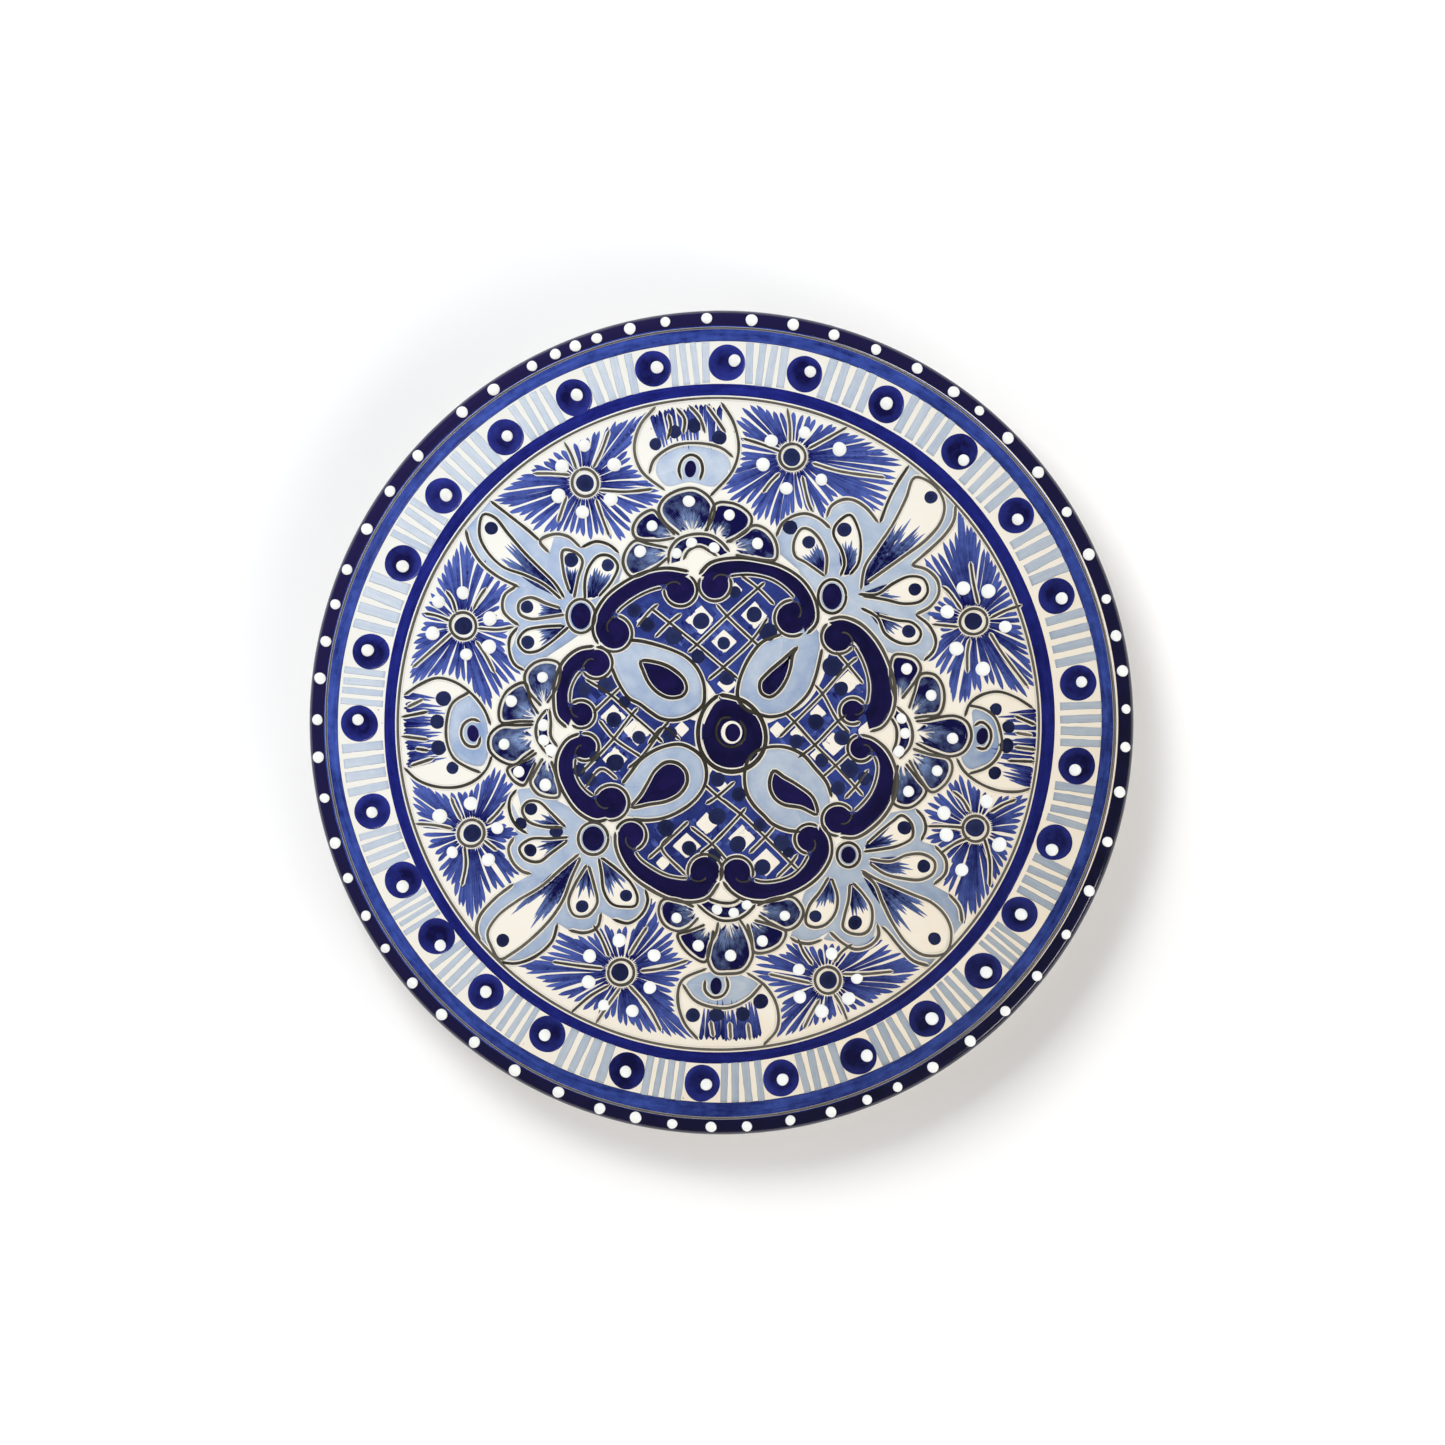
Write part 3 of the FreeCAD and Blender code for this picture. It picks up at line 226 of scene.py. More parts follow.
def blob(outline, height, base=0.0, tone=None, crown=0.0, rim=0.9, rounds=3, middle=None):
    # A filled closed outline: rings shrink from the rim to the middle, domed by crown
    middle = outline.mean(0) if middle is None else np.array(middle, float)
    shares = np.append(np.linspace(0.3, rim, rounds), 1.0)
    out = outline - middle
    top = middle + shares[:, None, None] * out
    swell = height + crown * (1 - shares ** 2)
    swell[-1] = height * 0.3
    lift = np.broadcast_to((base + swell)[:, None], top.shape[:2])
    rings = laid(top[..., 0], top[..., 1], lift)
    under = laid(top[::-1, :, 0], top[::-1, :, 1], coatRoot)
    rings = np.concatenate([rings, under])
    poles = np.concatenate([laid(middle[:1], middle[1:], base + height + crown),
                            laid(middle[:1], middle[1:], np.array([coatRoot]))])
    along = np.append(shares, shares[::-1])[:, None]
    turn = np.linspace(0, 1, len(outline))[None, :]
    tone = rng.uniform() if tone is None else tone
    return shell(rings, poles, along, turn, tone)


def roundOutline(centre, radius, count=28, uneven=0.04, stretch=1.0, turn=0.0):
    # An uneven circle, stretched one way and turned
    t = np.linspace(0, 2 * np.pi, count, endpoint=False)
    reach = radius * (1 + wobble(count + 1, uneven, 3)[:-1] * np.sin(t / 2) ** 0.5)
    x, y = reach * np.cos(t) * stretch, reach * np.sin(t)
    c, s = np.cos(turn), np.sin(turn)
    return np.array(centre) + np.stack([c * x - s * y, s * x + c * y], -1)


def bead(centre, radius, height=0.75, base=0.0, uneven=0.05):
    # A drop of slip: a dome whose slope steepens to its rim
    outline = roundOutline(centre, radius, 24, uneven, 1 + rng.uniform(-0.06, 0.06), rng.uniform(0, 3))
    middle = np.array(centre, float)
    angles = np.radians([18, 38, 56, 72, 84, 90])
    shares = np.sin(angles)
    top = middle + shares[:, None, None] * (outline - middle)
    lift = np.broadcast_to((base + height * np.cos(angles))[:, None], top.shape[:2])
    rings = laid(top[..., 0], top[..., 1], lift)
    bottom = laid(outline[:, 0], outline[:, 1], np.full(len(outline), coatRoot))
    poles = np.concatenate([laid(middle[:1], middle[1:], base + height),
                            laid(middle[:1], middle[1:], np.array([coatRoot]))])
    along = np.append(shares, 1.0)[:, None]
    return shell(np.concatenate([rings, bottom[None]]), poles, along, None, rng.uniform())


# Materials: paint, glaze, slip and clay

def nodeGroup(name, inputs, outputs):
    group = bpy.data.node_groups.new(name, "ShaderNodeTree")
    for title, kind, value in inputs:
        socket = group.interface.new_socket(title, in_out="INPUT", socket_type=kind)
        if value is not None:
            socket.default_value = value
    for title, kind in outputs:
        group.interface.new_socket(title, in_out="OUTPUT", socket_type=kind)
    return group, group.nodes.new("NodeGroupInput"), group.nodes.new("NodeGroupOutput")


def noise(tree, vector, scale, detail=3.0, rough=0.55):
    node = tree.nodes.new("ShaderNodeTexNoise")
    node.inputs["Scale"].default_value = scale
    node.inputs["Detail"].default_value = detail
    node.inputs["Roughness"].default_value = rough
    tree.links.new(vector, node.inputs["Vector"])
    return node.outputs["Fac"]


def span(tree, value, low, high, outLow=0.0, outHigh=1.0):
    node = tree.nodes.new("ShaderNodeMapRange")
    tree.links.new(value, node.inputs["Value"])
    limits = (("From Min", low), ("From Max", high), ("To Min", outLow), ("To Max", outHigh))
    for title, number in limits:
        node.inputs[title].default_value = number
    return node.outputs["Result"]


def maths(tree, operation, a, b):
    node = tree.nodes.new("ShaderNodeMath")
    node.operation = operation
    for i, value in enumerate((a, b)):
        if isinstance(value, (int, float)):
            node.inputs[i].default_value = value
        else:
            tree.links.new(value, node.inputs[i])
    return node.outputs[0]


def blend(tree, fac, a, b, mode="MIX"):
    node = tree.nodes.new("ShaderNodeMix")
    node.data_type = "RGBA"
    node.blend_type = mode
    for i, value in ((0, fac), (6, a), (7, b)):
        if isinstance(value, (int, float)):
            node.inputs[i].default_value = value
        elif isinstance(value, tuple):
            node.inputs[i].default_value = (*value, 1.0)
        else:
            tree.links.new(value, node.inputs[i])
    return node.outputs[2]


def makeGlazeGroup():
    # Fired glaze over everything: mottle of pooled pigment, slow swell of a hand-thrown face, pinholes
    group, start, end = nodeGroup(
        "glazeSkin",
        [("Vector", "NodeSocketVector", None), ("Mottle Scale", "NodeSocketFloat", 260.0)],
        [(title, "NodeSocketFloat") for title in ("Mottle", "Pinhole", "Height", "Roughness")])
    vector = start.outputs["Vector"]
    scaled = group.nodes.new("ShaderNodeTexNoise")
    scaled.inputs["Detail"].default_value = 5.0
    scaled.inputs["Roughness"].default_value = 0.62
    group.links.new(vector, scaled.inputs["Vector"])
    group.links.new(start.outputs["Mottle Scale"], scaled.inputs["Scale"])
    broad = noise(group, vector, 38.0, 2.0)
    grain = maths(group, "MULTIPLY", span(group, scaled.outputs["Fac"], 0.32, 0.68), 0.65)
    mottle = maths(group, "ADD", grain, maths(group, "MULTIPLY", span(group, broad, 0.35, 0.65), 0.35))
    group.links.new(mottle, end.inputs["Mottle"])
    cells = group.nodes.new("ShaderNodeTexVoronoi")
    cells.inputs["Scale"].default_value = 210.0
    group.links.new(vector, cells.inputs["Vector"])
    spot = span(group, cells.outputs["Distance"], 0.05, 0.1, 1.0, 0.0)
    rare = span(group, noise(group, vector, 60.0, 1.0), 0.6, 0.64)
    pinhole = maths(group, "MULTIPLY", spot, rare)
    group.links.new(pinhole, end.inputs["Pinhole"])
    swell = maths(group, "MULTIPLY", noise(group, vector, 22.0, 1.0), 0.8)
    peel = maths(group, "MULTIPLY", noise(group, vector, 420.0, 2.0), 0.05)
    surface = maths(group, "ADD", swell, peel)
    height = maths(group, "SUBTRACT", surface, maths(group, "MULTIPLY", pinhole, 0.12))
    group.links.new(height, end.inputs["Height"])
    gloss = span(group, noise(group, vector, 90.0, 3.0), 0.3, 0.7, 0.1, 0.2)
    group.links.new(gloss, end.inputs["Roughness"])
    return group


def makeBrushGroup():
    # Brush marks: noise drawn out along a stroke, and different for each stroke's tone
    group, start, end = nodeGroup(
        "brushMarks",
        [("Along", "NodeSocketFloat", 0.0), ("Across", "NodeSocketFloat", 0.0),
         ("Tone", "NodeSocketFloat", 0.0),
         ("Length Scale", "NodeSocketFloat", 2.0), ("Streak Scale", "NodeSocketFloat", 5.0)],
        [("Streak", "NodeSocketFloat")])
    combine = group.nodes.new("ShaderNodeCombineXYZ")
    given = start.outputs
    scales = (("Along", given["Length Scale"]), ("Across", given["Streak Scale"]), ("Tone", 37.0))
    for i, (title, scale) in enumerate(scales):
        group.links.new(maths(group, "MULTIPLY", given[title], scale), combine.inputs[i])
    streak = span(group, noise(group, combine.outputs[0], 1.0, 3.0, 0.6), 0.3, 0.7)
    group.links.new(streak, end.inputs["Streak"])
    return group


glazeGroup = makeGlazeGroup()
brushGroup = makeBrushGroup()


def attribute(tree, name):
    node = tree.nodes.new("ShaderNodeAttribute")
    node.attribute_name = name
    return node.outputs["Fac"]


def startMaterial(name, mottleScale=260.0, bump=0.35):
    # A glossy material with the glaze group wired to its bump and roughness
    material = bpy.data.materials.new(name)
    material.use_nodes = True
    tree = material.node_tree
    shader = tree.nodes["Principled BSDF"]
    shader.inputs["IOR"].default_value = 1.5
    where = tree.nodes.new("ShaderNodeTexCoord").outputs["Object"]
    glaze = tree.nodes.new("ShaderNodeGroup")
    glaze.node_tree = glazeGroup
    glaze.inputs["Mottle Scale"].default_value = mottleScale
    tree.links.new(where, glaze.inputs["Vector"])
    tree.links.new(glaze.outputs["Roughness"], shader.inputs["Roughness"])
    bumpNode = tree.nodes.new("ShaderNodeBump")
    bumpNode.inputs["Strength"].default_value = bump
    bumpNode.inputs["Distance"].default_value = 0.001
    tree.links.new(glaze.outputs["Height"], bumpNode.inputs["Height"])
    tree.links.new(bumpNode.outputs["Normal"], shader.inputs["Normal"])
    return material, tree, shader, where, glaze


def linear(red, green, blue):
    # Display colour from 0 to 255 as scene-linear colour: the power curve, and straight near black
    channels = (red, green, blue)
    return tuple(((c / 255 + 0.055) / 1.055) ** 2.4 if c > 10 else c / 255 / 12.92 for c in channels)


def diagonal(tree, where):
    # 0 at the upper left of the plate and 1 at its lower right: the mask for the painted light and shade
    # across the plate
    split = tree.nodes.new("ShaderNodeSeparateXYZ")
    tree.links.new(where, split.inputs[0])
    return span(tree, maths(tree, "SUBTRACT", split.outputs[0], split.outputs[1]), -0.19, 0.19)


lowerRightShade = (0.54, 0.53, 0.5)  # painted shade: how far every paint darkens towards the plate's lower right


pigment = {"streaks": 0.55, "clouds": 0.55, "strokeToStroke": 0.35}  # how strongly each varies the blue


def paint(name, dark, light, reach=0.6, streaks=5.0, length=2.0, mottleScale=260.0,
          alongFrom=0.0, alongTo=1.0):
    # Pigment: dark where it pools at a stroke's start, light where the brush thins,
    # with streaks, clouds and a tone of its own for each stroke
    material, tree, shader, where, glaze = startMaterial(name, mottleScale)
    brush = tree.nodes.new("ShaderNodeGroup")
    brush.node_tree = brushGroup
    brush.inputs["Length Scale"].default_value = length
    brush.inputs["Streak Scale"].default_value = streaks
    along = attribute(tree, "along")
    across, tone = attribute(tree, "across"), attribute(tree, "tone")
    for title, value in (("Along", along), ("Across", across), ("Tone", tone)):
        tree.links.new(value, brush.inputs[title])
    thin = maths(tree, "MULTIPLY", span(tree, along, alongFrom, alongTo), reach)
    marks = maths(tree, "MULTIPLY", maths(tree, "SUBTRACT", brush.outputs["Streak"], 0.5),
                  pigment["streaks"])
    cloud = maths(tree, "SUBTRACT", glaze.outputs["Mottle"], 0.5)
    cloud = maths(tree, "MULTIPLY", cloud, pigment["clouds"])
    each = maths(tree, "SUBTRACT", attribute(tree, "tone"), 0.5)
    each = maths(tree, "MULTIPLY", each, pigment["strokeToStroke"])
    total = maths(tree, "ADD", maths(tree, "ADD", thin, marks), maths(tree, "ADD", cloud, each))
    total = maths(tree, "ADD", total, (1 - reach) * 0.5)
    total = span(tree, total, 0.0, 1.0)
    # Painted shade: each paint's colour darkens across the plate towards its lower right
    paintedShade = blend(tree, diagonal(tree, where), (1.0, 1.0, 1.0), lowerRightShade)
    colour = blend(tree, 1.0, blend(tree, total, dark, light), paintedShade, "MULTIPLY")
    tree.links.new(colour, shader.inputs["Base Color"])
    return material


def makeMaterials():
    made = {}
    made["glazeWhite"], tree, shader, where, glaze = startMaterial("tinWhiteGlaze", 120.0)
    # The glaze's own cream, with painted light at the upper left and painted shade, darker and warmer,
    # towards the lower right
    cream = blend(tree, diagonal(tree, where), linear(238, 239, 234), linear(225, 209, 184))
    thin = maths(tree, "MULTIPLY", glaze.outputs["Mottle"], 0.35)
    patchy = blend(tree, thin, cream, linear(232, 232, 226))
    pits = maths(tree, "MULTIPLY", glaze.outputs["Pinhole"], 0.55)
    speck = blend(tree, pits, patchy, linear(120, 104, 84))
    tree.links.new(speck, shader.inputs["Base Color"])

    made["backGlaze"], tree, shader, where, glaze = startMaterial("creamBackGlaze", 90.0, 0.6)
    cream = blend(tree, glaze.outputs["Mottle"], linear(238, 228, 206), linear(226, 212, 186))
    tree.links.new(blend(tree, glaze.outputs["Pinhole"], cream, linear(110, 80, 60)),
                   shader.inputs["Base Color"])

    made["lipGlaze"], tree, shader, where, glaze = startMaterial("navyLipGlaze", 180.0, 0.5)
    # Painted light and shade: the navy is lighter and more violet at the upper left, a painted haze
    # reflection, and darker at the lower right
    night = blend(tree, diagonal(tree, where), linear(26, 20, 66), linear(4, 5, 28))
    cloudy = maths(tree, "MULTIPLY", glaze.outputs["Mottle"], 0.5)
    tree.links.new(blend(tree, cloudy, night, linear(22, 18, 60)), shader.inputs["Base Color"])

    made["outerBlue"] = paint("outerBandBlue", linear(4, 16, 92), linear(72, 98, 196), 0.0, 6.0, 60.0)
    made["innerCobalt"] = paint("innerBandCobalt", linear(4, 6, 84), linear(34, 44, 142), 0.0, 5.0, 50.0)
    made["stripe"] = paint("stripeWash", linear(184, 198, 218), linear(212, 221, 232), 0.2, 3.0, 1.0)
    made["roundel"] = paint("roundelCobalt", linear(6, 4, 66), linear(44, 54, 150), 0.7, 2.0, 1.5, 200.0,
                            0.5, 1.1)
    made["navy"] = paint("navyFill", linear(4, 1, 48), linear(28, 20, 84), 0.0, 2.0, 2.0, 160.0)
    made["feather"] = paint("featheredNavy", linear(6, 4, 70), linear(140, 165, 214), 0.95, 3.0, 1.5,
                            300.0, 0.62, 1.2)
    made["burst"] = paint("burstStrokes", linear(6, 8, 90), linear(84, 104, 186), 0.75, 3.0, 2.0, 300.0)
    made["hair"] = paint("dryBrushHairs", linear(5, 5, 72), linear(112, 136, 200), 0.9, 3.0, 2.0, 300.0,
                         0.5, 1.05)
    made["wash"] = paint("paleWash", linear(142, 165, 205), linear(212, 223, 235), 0.0, 1.0, 1.0, 150.0)
    made["lattice"] = paint("latticeBlue", linear(6, 8, 72), linear(58, 76, 158), 0.1, 2.0, 2.0, 260.0)
    made["slate"] = paint("slateDot", linear(14, 18, 56), linear(40, 50, 96), 0.3, 1.0, 1.0)

    made["whiteSlip"], tree, shader, where, glaze = startMaterial("whiteSlip", 200.0)
    tree.links.new(blend(tree, glaze.outputs["Mottle"], linear(242, 243, 240), linear(232, 233, 229)),
                   shader.inputs["Base Color"])

    made["trail"], tree, shader, where, glaze = startMaterial("umberTrail", 320.0, 0.5)
    split = tree.nodes.new("ShaderNodeVectorMath")
    split.operation = "LENGTH"
    tree.links.new(where, split.inputs[0])
    outward = span(tree, split.outputs["Value"], 0.02, 0.11)
    warmth = maths(tree, "MULTIPLY", outward, attribute(tree, "tone"))
    body = blend(tree, warmth, linear(34, 31, 26), linear(104, 100, 90))
    tree.links.new(blend(tree, maths(tree, "MULTIPLY", glaze.outputs["Mottle"], 0.6), body,
                         linear(70, 66, 58)),
                   shader.inputs["Base Color"])

    clay = bpy.data.materials.new("bareClay")
    clay.use_nodes = True
    tree = clay.node_tree
    shader = tree.nodes["Principled BSDF"]
    shader.inputs["Roughness"].default_value = 0.85
    where = tree.nodes.new("ShaderNodeTexCoord").outputs["Object"]
    grit = noise(tree, where, 900.0, 4.0, 0.7)
    tone = blend(tree, noise(tree, where, 70.0, 3.0), linear(178, 112, 78), linear(206, 146, 108))
    tree.links.new(blend(tree, span(tree, grit, 0.62, 0.7), tone, linear(120, 74, 52)),
                   shader.inputs["Base Color"])
    bumpNode = tree.nodes.new("ShaderNodeBump")
    bumpNode.inputs["Strength"].default_value = 0.5
    bumpNode.inputs["Distance"].default_value = 0.0004
    tree.links.new(grit, bumpNode.inputs["Height"])
    tree.links.new(bumpNode.outputs["Normal"], shader.inputs["Normal"])
    made["clay"] = clay
    return made


paints = makeMaterials()
print("materials made")


# The dish: clay, glaze coats and lip, each a profile turned round the axis

def turned(profile, count=360):
    # Radius and height carried round the axis; a profile that starts and ends on it gets poles there
    profile = np.array(profile)
    t = np.linspace(0, 2 * np.pi, count, endpoint=False)[None, :]
    onAxis = profile[0, 0] == 0
    around = profile[1:-1] if onAxis else profile
    x, y = around[:, :1] * np.cos(t), around[:, :1] * np.sin(t)
    rings = np.stack([x, y, np.broadcast_to(around[:, 1:], x.shape)], -1)
    if onAxis:
        return shell(rings, np.array([[0, 0, profile[0, 1]], [0, 0, profile[-1, 1]]]))
    return hoop(np.moveaxis(rings, 0, 1))


def wallProfile(inner, outer, shift, count):
    # Radius and height along a face of the wall, shift outwards from the clay's upper face
    radius = np.linspace(inner, outer, count)
    out = np.clip(radius - dish["wellRadius"], 0, None)
    angle = np.arcsin(out / curveRadius)
    reach = curveRadius - shift
    r = np.where(out > 0, dish["wellRadius"] + reach * np.sin(angle), radius)
    return np.stack([r, dish["floor"] + curveRadius - reach * np.cos(angle)], -1)


def lipProfile(reach, start, end, count):
    # Radius and height round the lip's centre
    turn = lipAngle - np.linspace(start, end, count)
    return np.stack([lipCentre[0] - reach * np.sin(turn), lipCentre[1] + reach * np.cos(turn)], -1)


clayEnd = dish["wellRadius"] + curveRadius * np.sin(lipAngle)
lipUnder = clayEnd - dish["lipGlazeDrop"]


def makeDish():
    glaze, wall, seat, underside = dish["glaze"], dish["wall"], dish["seat"], dish["underside"]
    lipInner, footOuter = dish["lipGlazeInner"], dish["footOuter"]
    start, end = 0.05, np.pi - 0.05
    low = underside - glaze
    foot = [[footOuter - 0.3, 3.0], [footOuter - 0.8, 0.5], [footOuter - 1.4, 0.0],
            [footOuter - 4.8, 0.0], [footOuter - 5.4, 0.5], [footOuter - 5.8, 3.0],
            [footOuter - 6.2, underside - 0.4], [footOuter - 7.0, underside], [0, underside]]
    clay = np.concatenate([
        wallProfile(0, clayEnd, 0, 90), lipProfile(lipRadius, start, end, 22),
        wallProfile(clayEnd, footOuter, -wall, 60), foot])
    joinShells("clay_dish", [turned(clay)], paints["clay"], "fired_clay", "clay_body")
    face = np.concatenate([wallProfile(0, lipInner, glaze, 120), wallProfile(lipInner, 0, seat, 60)])
    joinShells("face_glaze_coat", [turned(face, 480)], paints["glazeWhite"], "white_glaze", "face_glaze")
    lip = np.concatenate([
        wallProfile(lipInner, clayEnd, glaze, 6), lipProfile(lipRound, start, end, 36),
        wallProfile(clayEnd, lipUnder, -wall - glaze, 12),
        wallProfile(lipUnder, clayEnd, -wall - seat, 12),
        lipProfile(lipRadius + seat, end, start, 20), wallProfile(clayEnd, lipInner, seat, 4)])
    joinShells("lip_glaze_coat", [turned(lip, 480)], paints["lipGlaze"], "navy_lip_glaze", "lip_glaze")
    outside = np.concatenate([
        wallProfile(lipUnder, footOuter + 0.4, -wall - glaze, 60),
        wallProfile(footOuter + 0.4, lipUnder, -wall - seat, 40)])
    inside = [[0, low], [footOuter - 7.2, low], [footOuter - 6.8, low + 0.1],
              [footOuter - 6.7, underside - seat], [0, underside - seat]]
    coat = [turned(outside), turned(inside)]
    joinShells("back_glaze_coat", coat, paints["backGlaze"], "white_glaze", "back_glaze")


makeDish()
print("dish made")


# Rings: bands, ring trails, border strokes, roundels and beads

# Distance from the axis at east, north, west and south: hand-drawn rings aren't true circles
bandEdges = {
    "fieldTrail": (116.0, 118.6, 118.1, 119.5),
    "innerLow": (116.8, 119.4, 118.9, 120.2), "innerHigh": (121.8, 124.0, 123.2, 124.1),
    "outerLow": (138.3, 138.7, 139.4, 138.3),
    "rimTrail": (142.9, 143.6, 143.9, 143.8)}
# A trail's pair is its width and the bare edge beside it
ringStyle = {"bandHeight": 0.1, "bandPastTrail": 0.8, "edgeHeight": 0.16, "trailHeight": 0.4,
             "fieldTrail": (1.0, 0.5), "rimTrail": (0.7, 0.08)}


def ringRadius(name, t, unevenness=0.35):
    # Radius by angle: mean, shift of the centre, and oval, then a slow wobble
    east, north, west, south = bandEdges[name]
    mean, oval = (east + north + west + south) / 4, (east + west - north - south) / 4
    ring = mean + (east - west) / 2 * np.cos(t) + (north - south) / 2 * np.sin(t)
    return ring + oval * np.cos(2 * t) + wobble(len(t) + 1, unevenness, 14)[:-1]


def ringBand(low, high, height, section=flatSection, base=0.0, tone=0.5):
    # A band between two radii that change with angle
    count = len(low)
    t = np.linspace(0, 2 * np.pi, count, endpoint=False)[:, None]
    middle, half = ((low + high) / 2)[:, None], ((high - low) / 2)[:, None]
    radius = middle + section[0][None, :] * half
    lift = np.where(section[1] == 0, coatRoot, base + section[1] * height)[None, :]
    lift = np.broadcast_to(lift, radius.shape)
    return hoop(laid(radius * np.cos(t), radius * np.sin(t), lift), tone=tone)


def makeRings():
    count, bandHeight = 720, ringStyle["bandHeight"]
    t = np.linspace(0, 2 * np.pi, count, endpoint=False)
    inner = ringBand(ringRadius("innerLow", t, 0.2), ringRadius("innerHigh", t, 0.5), bandHeight)
    joinShells("inner_band_paint", [inner], paints["innerCobalt"], "dark_cobalt", "inner_band")
    low = ringRadius("outerLow", t, 0.45)
    outer = ringBand(low, ringRadius("rimTrail", t, 0.2) + ringStyle["bandPastTrail"], bandHeight)
    joinShells("outer_band_paint", [outer], paints["outerBlue"], "mid_blue", "outer_band")
    whites, trails = [], []
    for name in ("fieldTrail", "rimTrail"):
        width, bare = ringStyle[name]
        middle = ringRadius(name, t, 0.25)
        thick = width * (1 + wobble(count + 1, 0.18, 24)[:-1]) / 2
        low, high = middle - thick - bare, middle + thick + bare
        whites.append(ringBand(low, high, ringStyle["edgeHeight"], base=0.02))
        low, high = middle - thick, middle + thick
        trails.append(ringBand(low, high, ringStyle["trailHeight"], roundSection, 0.1, 0.9))
    joinShells("ring_trail_edges", whites, paints["glazeWhite"], "white_glaze")
    joinShells("ring_trail_lines", trails, paints["trail"], "umber_trail", "ring_trails")


# Centre x, y of each dab, then x, y of the bead on it
roundels = (
    (2, 131, 4.7, 132), (-25, 129, -23.5, 129.5), (-53.8, 118.5, -52.8, 119.5),
    (-78.7, 104, -78.2, 104.5), (-101.3, 82.7, -100.5, 83), (-116, 58, -116.3, 57),
    (-127.7, 25.8, -129, 26.3), (-132, -0.5, -132.5, 1), (-127.3, -32.3, -127.5, -32.8),
    (-116, -57.5, -116.3, -59.8), (-104, -78, -102.5, -81.3), (-86, -98.3, -86, -98.2),
    (-63.5, -113.5, -64.5, -114), (-34.5, -127, -35, -127.3), (-7, -131.5, -5.5, -132),
    (21.7, -129.5, 22.3, -130.2), (49.8, -121.7, 53, -121.5), (75, -108, 76.7, -108),
    (95.5, -90.5, 96.5, -91), (108.7, -70, 109.2, -70), (121.5, -43.7, 120.5, -46.5),
    (129.5, -15.7, 129, -17.3), (130, 14.3, 131.2, 14.8), (122, 46.2, 124, 45.3),
    (107.5, 75.5, 108, 74), (86.7, 98.8, 88.3, 95.7), (60, 116, 60.2, 116.3), (30.2, 127, 32.3, 127.9))
lipBeadAngles = (
    92.1, 98, 103.1, 108, 111.2, 114.3, 118, 124.4, 129.9, 138.7, 145.1, 151.4, 157.8, 163, 168.4,
    173.7, 179.6, 184.9, 190.8, 197.3, 202.6, 208.5, 213.9, 220.1, 226.2, 232.3, 239.3, 246.2, 252.5,
    257.7, 263, 268.5, 273.6, 279.8, 285.7, 291.1, 295.8, 301.5, 308, 314.5, 321.2, 328.4, 335.4, 342.8,
    350.1, 356.5, 1.9, 7.3, 12.4, 17.8, 24.6, 31.4, 38.3, 44.8, 50.4, 54.9, 61.1, 67.5, 73.8, 79.8,
    85.7)
# Stripe share: a stroke's width as a share of the room it has
border = {"inner": 124.2, "outer": 138.4, "roundelRadius": 6.6, "stripes": 4, "stripeShare": (0.56, 0.7),
          "beadRadius": 2.15, "lipBead": 1.95, "lipBeadPlace": 147.0}


def atAngle(radius, degrees):
    # Point at a distance from the axis, turned anticlockwise from east
    turn = np.radians(degrees)
    return np.array([radius * np.cos(turn), radius * np.sin(turn)])


def makeBorder():
    strokes, dabs, beads, lipBeads = [], [], [], []
    middle = (border["inner"] + border["outer"]) / 2
    angles = [np.degrees(np.arctan2(y, x)) for x, y, _, _ in roundels]
    for i, (x, y, beadX, beadY) in enumerate(roundels):
        sweep = (angles[(i + 1) % len(angles)] - angles[i]) % 360
        clear = np.degrees(border["roundelRadius"] / middle) - 0.3  # stripes start just under a roundel
        pitch = (sweep - 2 * clear) / border["stripes"]
        for k in range(border["stripes"]):
            place = angles[i] + clear + (k + 0.5) * pitch + rng.uniform(-0.12, 0.12)
            lean = rng.uniform(-0.18, 0.18)
            root = atAngle(border["inner"] - 0.4 + rng.uniform(-0.3, 0.3), place - lean)
            end = atAngle(border["outer"] + 0.2 + rng.uniform(-0.3, 0.3), place + lean)
            path = np.linspace(root, end, 12)
            width = pitch * np.radians(middle) * rng.uniform(*border["stripeShare"])
            strokes.append(laidLine(path, width * (1 + wobble(12, 0.06)), 0.04, flatSection, blunt=False))
        stretch, turn = rng.uniform(0.97, 1.04), rng.uniform(0, 3)
        outline = roundOutline((x, y), border["roundelRadius"], 40, 0.035, stretch, turn)
        dabs.append(blob(outline, 0.14, crown=0.12))
        beads.append(bead((beadX, beadY), border["beadRadius"] * rng.uniform(0.94, 1.08), 0.8, 0.2))
    for angle in lipBeadAngles:
        place = atAngle(border["lipBeadPlace"] + rng.uniform(-0.25, 0.25), angle)
        lipBeads.append(bead(place, border["lipBead"] * rng.uniform(0.88, 1.12), 0.6, 0.0, 0.06))
    joinShells("border_stripe_strokes", strokes, paints["stripe"], "pale_blue_wash", "border_stripes")
    joinShells("border_roundel_dabs", dabs, paints["roundel"], "dark_cobalt", "border_roundels")
    joinShells("roundel_bead_drops", beads, paints["whiteSlip"], "white_bead", "roundel_beads")
    joinShells("lip_bead_drops", lipBeads, paints["whiteSlip"], "white_bead", "lip_beads")


makeRings()
makeBorder()
print("rings and border made")


# The field: every motif's points are millimetres from the axis

# How far each coat's face stands off the glaze
coats = {"wash": 0.04, "white": 0.08, "paint": 0.11, "edge": 0.15, "trail": 0.42}
fieldBead = {"radius": (1.9, 2.3), "height": 0.75}
slateDot = {"radius": (2.3, 2.8), "height": 0.25}


